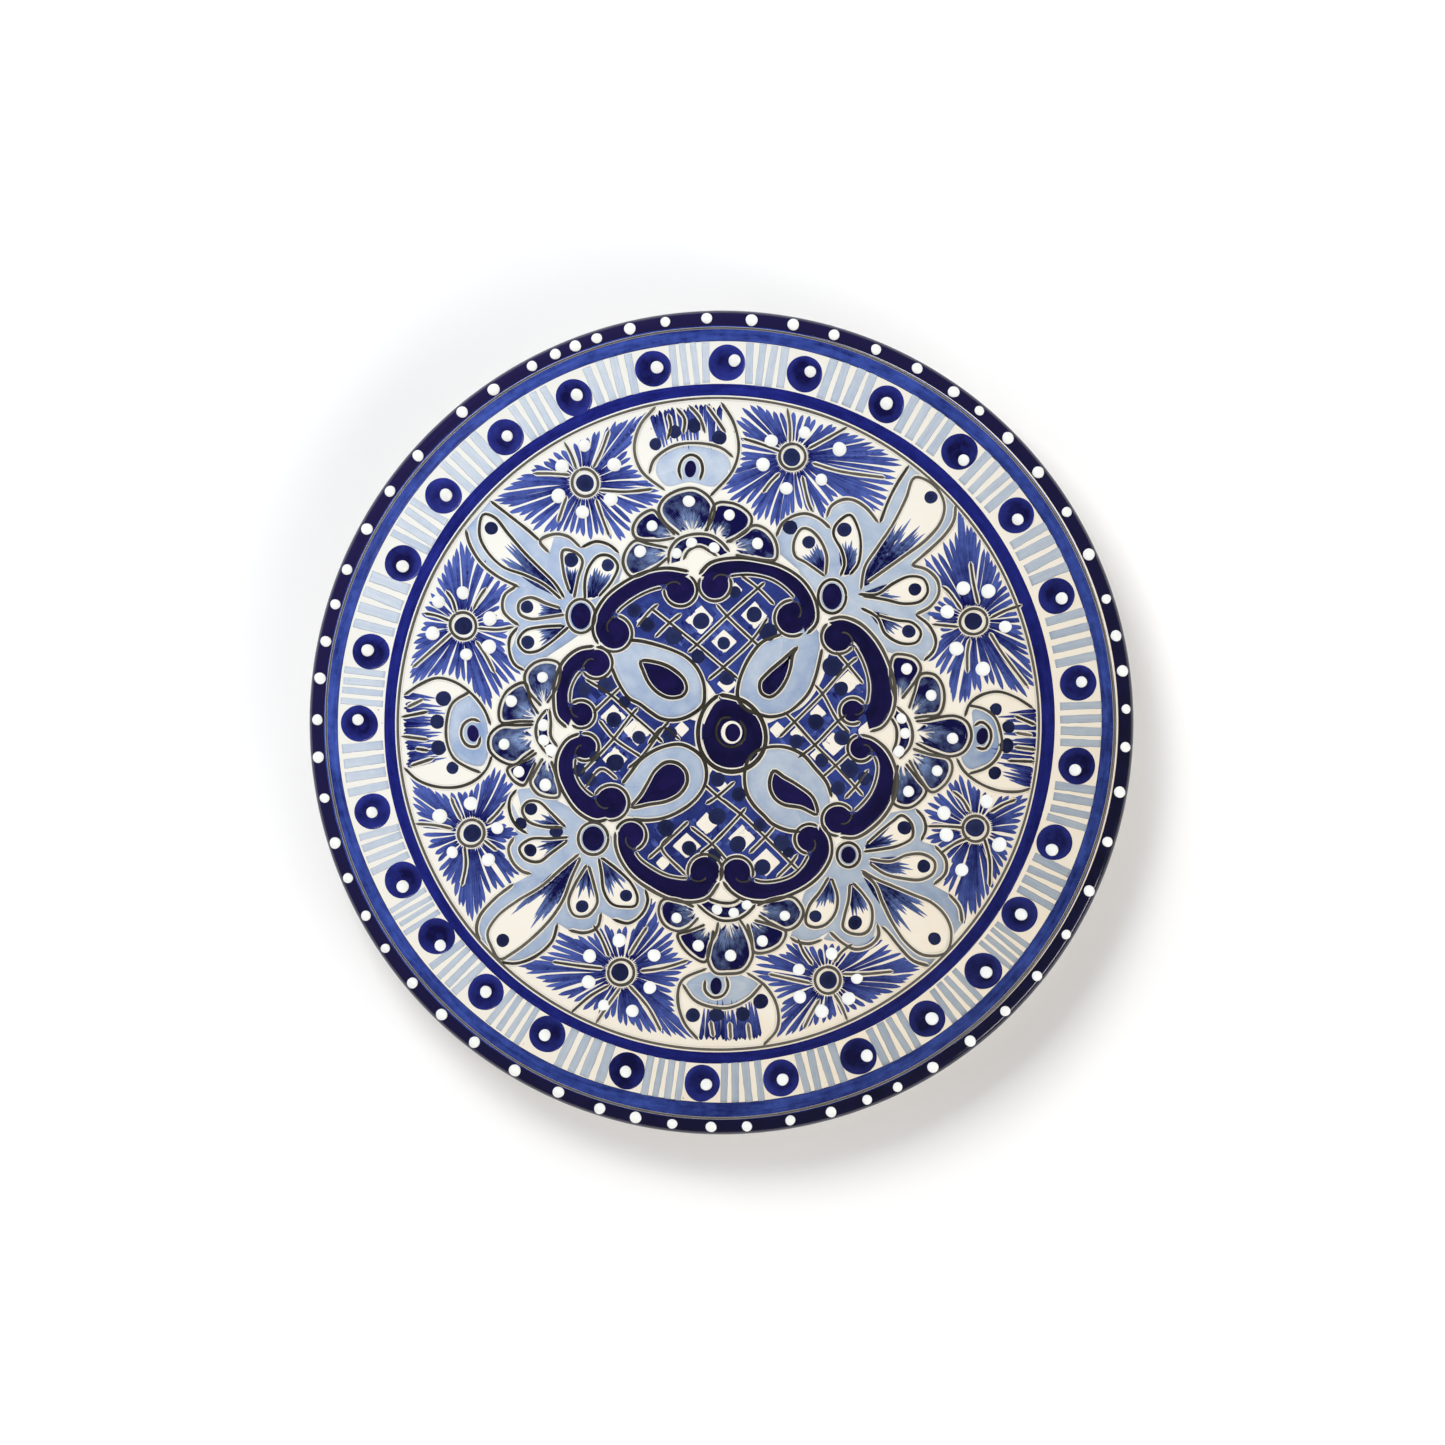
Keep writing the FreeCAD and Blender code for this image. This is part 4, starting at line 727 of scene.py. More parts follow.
class Layers:
    # Gathers one motif's shells by layer, then makes one object of each
    def __init__(self):
        self.edges, self.lines = [], []

    def pipe(self, path, width=1.25, edge=0.5, tone=None):
        # A piped line and the bare white glaze that shows on both sides of it
        count = len(path)
        uneven = width * (1 + wobble(count, 0.11, 5))
        self.edges.append(laidLine(path, uneven + 2 * edge, 0.05, flatSection, coats["edge"] - 0.05))
        height = coats["trail"] * rng.uniform(0.85, 1.1)
        self.lines.append(laidLine(path, uneven, height, base=0.08, tone=tone))

    def pipeThrough(self, points, width=1.25, edge=0.5):
        # A smooth line through points, with a step every 1.1 mm or so
        count = max(8, int(np.hypot(*np.diff(np.array(points, float), axis=0).T).sum() / 1.1))
        self.pipe(smooth(points, count), width, edge)

    def make(self, motif, *nodes):
        joinShells(motif + "_trail_edges", self.edges, paints["glazeWhite"], "white_glaze")
        joinShells(motif + "_trail_lines", self.lines, paints["trail"], "umber_trail", *nodes)


def inset(outline, by):
    # Closed outline moved inwards by a distance
    side = sideways(outline, True)
    following = np.roll(outline, -1, 0)
    area = np.sum(outline[:, 0] * following[:, 1] - following[:, 0] * outline[:, 1])
    return outline + side * by * np.sign(area)


def spaced(points, spacing, jitter=0.0):
    # Places spaced along a closed line of straight edges
    p = np.array(points + points[:1], float)
    run = np.append(0, np.cumsum(np.hypot(*np.diff(p, axis=0).T)))
    at = np.linspace(0, run[-1], int(run[-1] / spacing), endpoint=False)
    at += rng.uniform(-0.5, 0.5, len(at)) * spacing * jitter
    return np.stack([np.interp(at, run, p[:, 0]), np.interp(at, run, p[:, 1])], -1)


def oval(centre, radii, count=32, turn=0.0):
    # An ellipse, turned anticlockwise
    t = np.linspace(0, 2 * np.pi, count, endpoint=False)
    x, y = radii[0] * np.cos(t), radii[1] * np.sin(t)
    c, s = np.cos(turn), np.sin(turn)
    return np.array(centre) + np.stack([c * x - s * y, s * x + c * y], -1)


def taper(start, middle, end):
    # Widths at the twelve points of a short brush stroke
    return np.interp(np.linspace(0, 1, 12), [0, 0.5, 1], [start, middle, end])


middleFlower = {
    "disc": [(-7, -5), (-5, 2.5), (-1, 8), (5, 7.8), (11, 4.5), (14.6, -2), (15, -9), (11, -14.5),
             (4, -16.6), (-3, -14.5)],
    "loop": [(-1, 10.2), (-5.2, 6.5), (-7.8, 1.5), (-8.6, -4.5), (-7.4, -10.5), (-3.2, -15.8), (3, -18),
             (9, -16.8), (13.6, -13.2), (16, -8), (15.8, -2), (13.2, 3.4), (8.6, 7.6), (3.5, 9.4),
             (-1, 10.2)],
    "hook": [(3.6, 1.9), (0, 1.4), (-1.8, -2), (-1.4, -6), (1.4, -8.6), (5, -8.8), (8.2, -6.2),
             (8.7, -2.4), (6.6, 0.9)],
    "eye": ((4.1, -3.7), (2.8, 3.3)), "white": ((3.7, -3.6), (3.9, 4.2))}


def makeCentre():
    layers = Layers()
    dark = [blob(smooth(middleFlower["disc"], 60, True), 0.05, coats["paint"])]
    eye = [blob(oval(*middleFlower["eye"]), 0.04, coats["paint"] + 0.12, crown=0.1)]
    white = [blob(oval(*middleFlower["white"]), 0.04, coats["paint"] + 0.06)]
    layers.pipeThrough(middleFlower["loop"], 1.7)
    layers.pipeThrough(middleFlower["hook"], 1.0, 0.35)
    joinShells("centre_dark_disc", dark + eye, paints["navy"], "dark_cobalt", "centre_disc")
    joinShells("centre_white_ring", white, paints["glazeWhite"], "white_bead", "centre_white")
    layers.make("centre", "centre_trail")


# Each loop is open at its outer end, where the wash runs on to the tip
petals = {
    "north_east": {
        "loop": [
            (22, 32.4), (15, 29.5), (11, 25), (8, 19.5), (6.2, 14), (6, 9), (8.8, 5), (13.8, 3),
            (18, 2.1), (23.5, 3.3), (28, 6.5), (32, 11), (34.5, 17), (36, 23), (36.8, 27)],
        "tip": [(36.6, 33), (33, 36.6), (27, 35.4)],
        "core": [
            (27.8, 27.6), (22, 22.6), (17, 18.3), (14, 14.6), (14.6, 10.8), (17.6, 9.3), (20.4, 10.8),
            (23.5, 15), (25.3, 20), (26.2, 25)]},
    "north_west": {
        "loop": [
            (-34, 30.2), (-30, 29.9), (-24, 28.5), (-18, 26.5), (-13, 24), (-9, 20), (-6.7, 15),
            (-6.2, 11), (-6.8, 6.5), (-11.5, 2.6), (-17, 0.9), (-22, 1.4), (-26, 3.8), (-30, 6.8),
            (-34, 9), (-38, 15), (-40.3, 20.5)],
        "tip": [(-42, 26), (-39, 29.4)],
        "core": [
            (-29.6, 22.4), (-22, 21.6), (-17, 19), (-13.5, 15.5), (-12.8, 12), (-14.4, 9.7), (-19, 9),
            (-23.2, 10.8), (-26.5, 14.2), (-28.6, 18.6)]},
    "south_west": {
        "loop": [
            (-36.4, -22.5), (-33, -18), (-30, -14), (-26, -11), (-21, -8.8), (-15, -8), (-9.6, -10.4),
            (-6.6, -13.6), (-5.5, -18.5), (-6.2, -23), (-9, -27.5), (-13, -31), (-20, -34.6),
            (-27, -35.8), (-33, -35.4)],
        "tip": [(-37, -34), (-38, -28)],
        "core": [
            (-33, -31), (-29.6, -26.5), (-27, -22), (-24.5, -17.7), (-20.3, -14.5), (-16, -15),
            (-13, -18), (-12.6, -22), (-15, -26), (-20, -28.8), (-26.5, -30)]},
    "south_east": {
        "loop": [
            (29, -40), (24, -39.4), (18.5, -37), (15.5, -34), (12, -30.5), (9.3, -26), (8.4, -19.5),
            (9.8, -13.6), (13.8, -10), (20, -8.8), (25, -9.5), (30, -12), (34, -16.5), (38.5, -22),
            (40.4, -27.4)],
        "tip": [(40, -33), (35, -38.6)],
        "core": [
            (35, -33.6), (33.6, -27.6), (27.5, -22.6), (23, -20), (19.2, -17.7), (17.8, -20.4),
            (17.7, -24), (19.4, -27.7), (22.6, -30), (29, -31.2)]}}


petalStyle = {"inset": 0.9, "loopLine": 1.35, "coreLine": 1.3, "bareEdge": 0.4}


def makePetals():
    layers = Layers()
    washes, cores = [], []
    for petal in petals.values():
        outline = smooth(petal["loop"] + petal["tip"], 96, True)
        core = smooth(petal["core"], 60, True)
        wash, fill = inset(outline, petalStyle["inset"]), inset(core, petalStyle["inset"])
        washes.append(blob(wash, 0.04, coats["wash"] + 0.03, middle=core.mean(0)))
        cores.append(blob(fill, 0.05, coats["paint"] + 0.01))
        layers.pipe(smooth(petal["loop"], 90), petalStyle["loopLine"], petalStyle["bareEdge"])
        layers.pipe(np.concatenate([core, core[:2]]), petalStyle["coreLine"], petalStyle["bareEdge"])
    joinShells("petal_wash_coats", washes, paints["wash"], "pale_blue_wash", "petal_washes")
    joinShells("petal_core_fills", cores, paints["navy"], "dark_cobalt", "petal_cores")
    layers.make("petal", "petal_trails")


scrolls = {
    "north_north_east": [
        [
            (-7.5, 53.5), (-3.5, 57.6), (6, 59.3), (14, 58.3), (21.4, 56.4), (29.1, 51.3), (33.7, 43.6),
            (34, 37), (30.4, 33)],
        [(-0.5, 53.2), (3, 54.6), (11.2, 55.1), (19.4, 53), (25.5, 48.5), (28.8, 44), (29.4, 40.5)],
        ((-2.4, 50.4), 4.9), ((26, 38.2), 5.6)],
    "north_north_west": [
        [
            (-12, 54.3), (-20, 55.5), (-28, 54), (-36, 50), (-42, 45), (-45.5, 39), (-46, 33),
            (-44.2, 29.2)],
        [(-16.5, 50.8), (-20.5, 50.7), (-26, 49.5), (-33, 46), (-38.5, 41.5), (-41, 37.5)],
        ((-15, 48.6), 5.0), ((-39.4, 32.6), 5.6)],
    "west_north_west": [
        [(-46.5, 27), (-52, 26), (-57, 22), (-60, 15), (-60.5, 9), (-59.6, 2.5), (-56, -1.2)],
        [(-49, 21.5), (-53, 18.6), (-56, 13), (-56.4, 7), (-54.6, 2.6)], ((-45.8, 21.8), 4.8),
        ((-51.4, 3.0), 4.1)],
    "west_south_west": [
        [
            (-51.5, -4.9), (-56, -7), (-59.4, -13), (-59.3, -19.5), (-56.5, -26), (-52, -32),
            (-46, -35.2), (-42, -34.4)],
        [(-52.6, -9), (-54.5, -13.5), (-54.2, -19.5), (-51, -25), (-46, -28.6), (-43.5, -29)],
        ((-50, -9), 4.0), ((-40.4, -29.4), 5.5)],
    "south_south_west": [
        [
            (-37.9, -40), (-37.8, -45), (-36, -50), (-32, -55.5), (-26, -60), (-19, -63.5),
            (-11, -64.8), (-5.5, -63.3), (-1.6, -58)],
        [(-32, -44), (-32.6, -47), (-30.8, -50.3), (-26, -54), (-20, -57), (-13, -58), (-9.6, -57.2)],
        ((-33.2, -41.2), 4.6), ((-6, -54.6), 5.3)],
    "south_south_east": [
        [
            (1.3, -57.5), (4, -61), (9, -64), (16, -64.7), (24, -62.5), (31, -59), (36, -54.5),
            (39.2, -48.5), (39, -43), (36, -37.8)],
        [(9, -57.4), (14, -59.2), (20, -59), (26, -57), (30, -53.5), (33, -48.5)], ((5.6, -55), 4.9),
        ((32.2, -42.6), 4.4)],
    "east_north_east": [
        [
            (39.3, 36.6), (44, 37.6), (50, 35.5), (56, 29.5), (60, 22), (62.5, 13), (62, 5),
            (58.5, -0.8), (54, -2.4)],
        [(46, 32), (49.5, 28.5), (53, 22), (55, 14), (54.4, 7.4), (52.6, 3.6)], ((42.8, 31.4), 5.2),
        ((48, 4.2), 3.8)],
    "east_south_east": [
        [
            (50.5, -5.4), (55, -6.7), (60, -11), (63, -18), (63, -25), (60, -32), (55, -37.5),
            (49, -41.2), (43.5, -41)],
        [(52.5, -8.6), (55.5, -10), (58, -15), (57.5, -21), (55, -27), (50, -32.6), (46.5, -35)],
        ((51, -9.4), 3.8), ((42.6, -35.6), 4.9)]}


# Clear: from a painted edge to the middle of the piped line beside it
scrollStyle = {"clear": 1.05, "outerLine": 1.3, "innerLine": 0.95, "knobLine": 1.15, "hookLine": 0.7}


def knobArc(knob, outerEnd, innerEnd, onward, clear):
    # The arc round a knob's far side, from the band's outer edge to its inner edge
    centre, radius = np.array(knob[0], float), knob[1] + clear
    first = np.arctan2(*(outerEnd - centre)[::-1])
    last = np.arctan2(*(innerEnd - centre)[::-1])
    far = np.arctan2(*onward[::-1])
    sweep = (last - first) % (2 * np.pi)
    if (far - first) % (2 * np.pi) > sweep:
        sweep -= 2 * np.pi
    t = first + np.linspace(0.02, 0.99, 24) * sweep
    return centre + radius * np.stack([np.cos(t), np.sin(t)], -1)


def makeScrolls():
    layers = Layers()
    fills, clear = [], scrollStyle["clear"]
    for outerPoints, innerPoints, *knobs in scrolls.values():
        outer, inner = smooth(outerPoints, 44), smooth(innerPoints, 44)
        fills.append(between(outer, inner, 0.05, coats["paint"]))
        fills += [blob(roundOutline(centre, radius, 36, 0.03), 0.05, coats["paint"] + 0.01)
                  for centre, radius in knobs]
        outward = sideways(outer)
        middle = inner.mean(0)
        outward *= np.sign(((outer - middle) * outward).sum(1).mean())
        layers.pipe(outer + outward * clear, scrollStyle["outerLine"])
        inward = sideways(inner)
        inward *= np.sign(((outer.mean(0) - middle) * inward).sum(1).mean())
        rim = inner - inward * clear
        clearOf = [np.hypot(*(rim - centre).T) > radius + clear + 0.2 for centre, radius in knobs]
        rim = rim[clearOf[0] & clearOf[1]]
        layers.pipe(rim, scrollStyle["innerLine"], 0.35)
        for knob, k, end in ((knobs[0], 0, rim[0]), (knobs[1], -1, rim[-1])):
            following = outer[4] if k == 0 else outer[-5]
            arc = knobArc(knob, outer[k], end, outer[k] - following, clear)
            layers.pipe(arc, scrollStyle["knobLine"], 0.4)
            centre, start = np.array(knob[0], float), arc[-1]
            side = np.sign(np.cross(arc[1] - centre, arc[5] - centre))
            turn = np.arctan2(*(start - centre)[::-1]) + np.linspace(0, 1.5, 9) * side
            shrink = np.linspace(knob[1] + clear, knob[1] * 0.35, 9)[:, None]
            hook = centre + shrink * np.stack([np.cos(turn), np.sin(turn)], -1)
            layers.pipe(hook, scrollStyle["hookLine"], 0.0)
    joinShells("scroll_band_fills", fills, paints["navy"], "dark_cobalt", "scroll_bands")
    layers.make("scroll", "scroll_trails")


lattices = {
    "north": {
        "ground": [
            (3, 6), (14, 20), (24, 32), (31, 36), (31, 44), (27, 50), (19, 55), (8, 57), (-4, 54),
            (-9, 51.5), (-20, 53), (-30, 50), (-40, 42), (-42, 33), (-34, 29), (-20, 26), (-8, 18)],
        "lines": [
            [(-26, 42), (-19, 36.5), (-9, 28.5), (1, 20), (6, 16)],
            [(-2, 43.5), (2, 39), (11.5, 30), (13.8, 28)], [(7, 54), (13.5, 49), (19.5, 43)],
            [(-24.5, 31), (-19, 36.5), (-14.5, 40)], [(-12.5, 25.5), (-9, 28.5), (2, 39), (16, 51.5)],
            [(-5, 15.5), (1, 20.5), (11.5, 30.5), (17, 38.5)], [(-31, 35), (-26, 41), (-23, 43.5)]],
        "whites": [
            ((-7.5, 37.4), 5.2), ((0.8, 29.6), 4.4), ((12.2, 39.3), 4.6), ((2, 14.2), 3.6),
            ((-28.5, 37), 2.6), ((5, 48.5), 2.6)],
        "dots": [
            (-7.5, 37.2, 2.7), (0.8, 29, 2.1), (12, 39.5, 2.5), (2, 16.5, 2.6), (-27.3, 35.8, 2.4),
            (-32, 41, 2.3), (5, 47.8, 2), (17, 33.2, 3), (-17.5, 31.8, 2.8), (-8.5, 24.2, 2.3)]},
    "east": {
        "ground": [
            (10, -4), (20, 1), (30, 6), (37, 16), (40, 26), (47, 29), (53, 24), (57, 14), (57, 6),
            (54, 1), (50, -3), (53, -7), (58, -9), (60, -18), (58, -27), (52, -34), (46, -34),
            (42, -27), (36, -20), (28, -12), (18, -9)],
        "lines": [
            [(21, -5.5), (26.7, 0.2), (37, 10.5), (46.3, 21), (50, 24)],
            [(28, -13), (34.2, -8.2), (42.7, 0.5), (46, 3)], [(37, -20), (41.8, -15.8), (47, -11)],
            [(23, 4), (26.7, 0.2), (34.2, -8.2), (41.8, -15.8), (49, -23.6), (52, -27)],
            [(34, 14), (37, 10.5), (42.7, 0.5), (47, -4)], [(45, -28), (49, -23.6), (54, -17)],
            [(42, 26), (46.3, 21), (52, 14)]],
        "whites": [
            ((46.4, 14.6), 4.0), ((41, -8), 4.4), ((20.4, -2.6), 3.0), ((28, -4), 2.8),
            ((35.2, 3.4), 3.0), ((35, -12), 2.4)],
        "dots": [
            (34.5, 0.2, 2.6), (43.9, 12.4, 2.3), (40.6, 20.4, 3.2), (27.4, -7, 2.3), (36.7, -13.7, 2.3),
            (44.2, -5.6, 2.6), (46.9, -17, 3), (42.7, -24, 2.4), (52.5, -20.5, 2.3)]},
    "west": {
        "ground": [
            (-5, -2), (-14, 2), (-25, 5), (-34, 12), (-40, 22), (-47, 20), (-56, 19), (-58, 12),
            (-58, 5), (-54, 0), (-52, -3), (-54, -8), (-57, -14), (-56, -22), (-50, -29), (-44, -31),
            (-38, -27), (-30, -16), (-20, -10), (-10, -9)],
        "lines": [
            [(-50, 16), (-40.3, 9.9), (-32.8, 2.9), (-29.5, 0)],
            [(-45, 1), (-39.4, -5.8), (-29.4, -12.7)], [(-47, 3.5), (-40.3, 9.9), (-37, 13)],
            [(-52, -19), (-46, -13), (-39.4, -5.8), (-32.8, 2.9), (-30.5, 5.6)],
            [(-34.5, -17), (-29.4, -12.7), (-21.3, -1.9), (-19, 0.5)],
            [(-27, -8), (-21.3, -1.9), (-15, -6.5)], [(-32.8, 2.9), (-26, -3), (-21.3, -7.6)],
            [(-50, -24), (-44, -17), (-38, -21)]],
        "whites": [((-30.8, -3), 5.0), ((-14.6, -2.4), 2.8), ((-39, -13.4), 4.6), ((-39.6, 2), 4.4)],
        "dots": [
            (-39.4, 1.1, 2.5), (-30.2, -5.4, 2.2), (-38.9, -14.6, 2.8), (-18.9, -4.2, 2.5),
            (-42.5, 13.6, 2.8), (-46.4, -12.4, 1.8), (-52.2, -17.6, 2.1), (-48.3, -20.8, 2.3),
            (-35.5, 7.5, 2.0), (-50.3, 12.3, 2.3)]},
    "south": {
        "ground": [
            (2, -15), (9, -22), (14, -33), (24, -38), (34, -37), (36, -46), (33, -54), (25, -59),
            (14, -61.5), (5, -58), (0, -54), (-4, -57), (-12, -60.5), (-22, -58.5), (-31, -52),
            (-35, -45), (-34, -37), (-26, -35), (-14, -32), (-7, -25), (-3, -17)],
        "lines": [
            [(5, -21.5), (-1.5, -27), (-6, -30)],
            [(0, -28), (7, -33.5), (16, -42), (25.5, -51.5), (28, -54)],
            [(9, -31), (7, -33.5), (-3.5, -44.5), (-8, -48)], [(19.5, -38), (16, -42), (10, -48)],
            [(28, -48), (25.5, -51.5), (20, -57)], [(-12, -36), (-22, -45.5), (-27, -50)],
            [(-11.5, -38), (-3.5, -44.5), (2, -50.5)], [(-18, -41), (-22, -45.5), (-13, -56)],
            [(-6.5, -22.5), (-1.5, -27), (7, -33.5)]],
        "whites": [
            ((-5.5, -37.3), 4.2), ((7.6, -42.4), 4.8), ((-12.8, -45.2), 4.8), ((16.4, -51.2), 4.8),
            ((-21.5, -51.5), 2.6), ((0, -23), 2.4)],
        "dots": [
            (-1.6, -34.4, 2.9), (6, -44.5, 2.8), (-11.8, -46, 2.4), (15, -53, 2.6), (-20.3, -38.6, 2.8),
            (22, -44.2, 2.8), (14, -37.6, 2.3), (-2.5, -48.6, 2.3), (-1.3, -21, 2.4), (6.3, -26.3, 2.4),
            (24.5, -47.5, 1.8)]}}


latticeStyle = {"marks": 46, "markWidth": (1.0, 2.2), "dotShare": 1.12, "line": 1.0, "bareEdge": 0.42}


def makeLattices():
    layers = Layers()
    grounds, strokes, whites, dots = [], [], [], []
    for lattice in lattices.values():
        ground = smooth(lattice["ground"], 140, True)
        grounds.append(blob(ground, 0.03, coats["wash"], middle=np.mean(lattice["ground"], 0)))
        for _ in range(latticeStyle["marks"]):
            centre = ground[rng.integers(len(ground))].copy()
            centre += (ground.mean(0) - centre) * rng.uniform(0.12, 1.0)
            turn = rng.choice([0.72, -0.8]) + rng.uniform(-0.2, 0.2)
            reach = rng.uniform(1.6, 3.2) * np.array([np.cos(turn), np.sin(turn)])
            path = np.linspace(centre - reach, centre + reach, 8)
            width = rng.uniform(*latticeStyle["markWidth"])
            strokes.append(laidLine(path, width, 0.03, flatSection, coats["wash"] + 0.03))
        for centre, half in lattice["whites"]:
            corners = np.array([(0, half), (half, 0), (0, -half), (-half, 0)])
            corners = corners * rng.uniform(0.96, 1.14, (4, 1))
            whites.append(blob(spaced((corners + centre).tolist(), 0.9), 0.02, coats["white"]))
        for x, y, radius in lattice["dots"]:
            dots.append(bead((x, y), radius * latticeStyle["dotShare"], 0.22, coats["paint"]))
        for points in lattice["lines"]:
            layers.pipeThrough(points, latticeStyle["line"], latticeStyle["bareEdge"])
    joinShells("lattice_ground_wash", grounds, paints["lattice"], "mid_blue", "lattice_grounds")
    joinShells("lattice_brush_marks", strokes, paints["burst"], "mid_blue")
    joinShells("lattice_white_diamonds", whites, paints["glazeWhite"], "white_glaze")
    joinShells("lattice_dot_drops", dots, paints["slate"], "slate_dot", "lattice_dots")
    layers.make("lattice", "lattice_trails")


fans = {
    "north": {
        "petals": [
            [
                (-19.5, 64), (-27, 65.5), (-31.5, 66.6), (-35, 63), (-36, 58), (-33, 53.5), (-24, 57),
                (-19.5, 60.5)],
            [
                (-17, 67.6), (-24, 66.6), (-31.5, 67.8), (-32.5, 71), (-30, 75.5), (-25, 77.8),
                (-22, 74), (-17, 68.6)],
            [
                (-15.4, 68.6), (-21, 73.6), (-23, 78), (-21, 82), (-16, 85), (-10, 85.8), (-5, 83),
                (-2.6, 79), (-3.5, 74), (-6.2, 70)],
            [(-5.5, 70), (-2.2, 80), (3, 80.5), (8, 78.5), (11, 75), (10, 71), (6, 68), (1.6, 66)],
            [
                (2.8, 65.8), (8, 69.8), (12, 72.2), (16, 71), (19.5, 67), (20.5, 62), (19.6, 59.6),
                (12, 60), (5, 61.4)]],
        "arcs": [
            [(-14, 59.5), (-12, 63), (-8, 64.5), (-4, 62.5), (-1.5, 60.8)],
            [(-19.5, 58), (-19, 63), (-16, 67), (-10, 69), (-4, 68.5), (0, 66), (3, 62.5)]],
        "eyes": [(-29.8, 62.7), (-25.5, 72), (-12, 81), (2.9, 76), (13.2, 65.6)],
        "beads": [(-16.5, 62), (-11, 65.8), (-2.7, 64)], "root": (-7, 58)},
    "south": {
        "petals": [
            [
                (-10, -67.6), (-16, -65), (-21.5, -65), (-23, -69), (-21, -74), (-16, -76.4),
                (-12, -75), (-8.4, -71.4)],
            [
                (-6, -74), (-12, -76.4), (-16, -77.6), (-15, -81), (-11, -85.5), (-6, -87.6), (-4, -82),
                (-3, -76)],
            [
                (-1.2, -73), (-2, -77), (-4.5, -82), (-5, -87), (-2.5, -91.5), (2, -92), (8, -91),
                (11.3, -86), (11, -81), (8.5, -75), (6.5, -72)],
            [
                (9.4, -73.6), (11, -79), (11.9, -84), (17, -84), (22, -81), (23.5, -76.5), (19, -74.4),
                (12, -72.4)],
            [
                (13.5, -70.5), (19, -74), (24, -76), (28, -74), (30, -69.5), (28.5, -66), (26, -64),
                (19, -64.5), (13, -67)]],
        "arcs": [
            [(-5, -64.5), (0, -66), (4, -66), (7, -64.5)],
            [(-9, -66.5), (-5, -70), (0, -72.5), (6, -72), (10, -69.5), (12.5, -66.5)]],
        "eyes": [(-16.5, -71.6), (-8.5, -81.7), (3.3, -85.3), (15, -80), (23.2, -70.8)],
        "beads": [(-1.7, -68.5), (4.5, -69.7), (9.3, -66.7)], "root": (1.5, -62)},
    "west": {
        "petals": [
            [
                (-64, 7), (-59.8, 14), (-59.5, 21.5), (-64, 23), (-69, 21.5), (-72, 17.5), (-71, 12),
                (-66, 6)],
            [
                (-67, 3), (-70, 8), (-72, 14.5), (-78, 12), (-81, 7), (-81.5, 2), (-80.5, 0),
                (-74, 0.4), (-68.6, 0.4)],
            [
                (-68.8, -0.8), (-75, -1), (-81, -1.2), (-85, -5), (-85, -10), (-81, -14), (-76, -15.4),
                (-72, -12.5), (-68.6, -10)],
            [
                (-67.6, -11), (-72, -14), (-78.4, -17), (-76.5, -21), (-72.5, -23), (-70.5, -20),
                (-68, -14.5)],
            [
                (-65.4, -13), (-68.8, -19), (-70, -22), (-67.5, -26), (-63, -27.5), (-59.5, -27),
                (-60.5, -20), (-62.4, -14)]],
        "arcs": [
            [(-63, 5), (-62.5, 0), (-62.5, -5), (-60, -9)],
            [(-64, 5), (-67, 1), (-68, -4), (-66, -9), (-62, -13)]],
        "eyes": [(-65.6, 16.6), (-77, 7.8), (-79.6, -8), (-74.3, -18), (-64.5, -22.8)],
        "beads": [(-65.3, -1), (-65.3, -6.5), (-62.5, -10.3)], "root": (-59, -3)},
    "east": {
        "petals": [
            [(64, 8), (61.8, 16), (63, 24.5), (66, 25), (71, 23.5), (73, 20), (71.5, 16), (66, 8.6)],
            [
                (68.6, 5), (70.6, 11), (73, 17.6), (78, 17.5), (81, 13.5), (81.5, 7.5), (79.6, 3),
                (74, 2.2), (70.4, 1.6)],
            [
                (71, 0.4), (75, 0.8), (80, 2), (86, 2.3), (90, 0), (91.5, -5), (89, -10.5), (84, -12.4),
                (77, -10.5), (71, -7.5)],
            [
                (70, -9.6), (76, -11.6), (83.4, -13.4), (84.5, -17), (82, -22.5), (77, -25.5),
                (73, -21), (68.6, -13.6)],
            [
                (67.4, -15), (72, -21), (75, -25), (72.5, -29), (68, -31.3), (63, -29.5), (63.4, -22),
                (64.6, -15.4)]],
        "arcs": [
            [(62, 2), (64, -2), (64, -7), (62.5, -11)],
            [(64, 6), (68, 2), (70, -4), (69, -9), (65, -13.5)]],
        "eyes": [(67.8, 19.6), (76.8, 10), (84.6, -5.8), (79, -17.7), (68.5, -25.3)],
        "beads": [(66, 1.5), (67.3, -4), (64.9, -10.6)], "root": (61.5, -4)}}


# Rim: bare width inside the line; solid and ragged: shares of the way to the petal's root
fanStyle = {"line": 1.15, "bareEdge": 0.4, "arcLine": 1.2, "rim": 1.35, "solid": 0.58, "ragged": 0.3,
            "hairs": 9, "hairWidth": (1.0, 1.6)}


def fringe(outer, inner, height, base, tone):
    # A patch whose paint thins from its outer edge to its ragged inner edge
    patch = between(outer, inner, height, base, tone)
    patch["values"][:, [0, 1]] = patch["values"][:, [1, 0]]
    patch["values"][:, 0] = 1 - patch["values"][:, 0]
    return patch


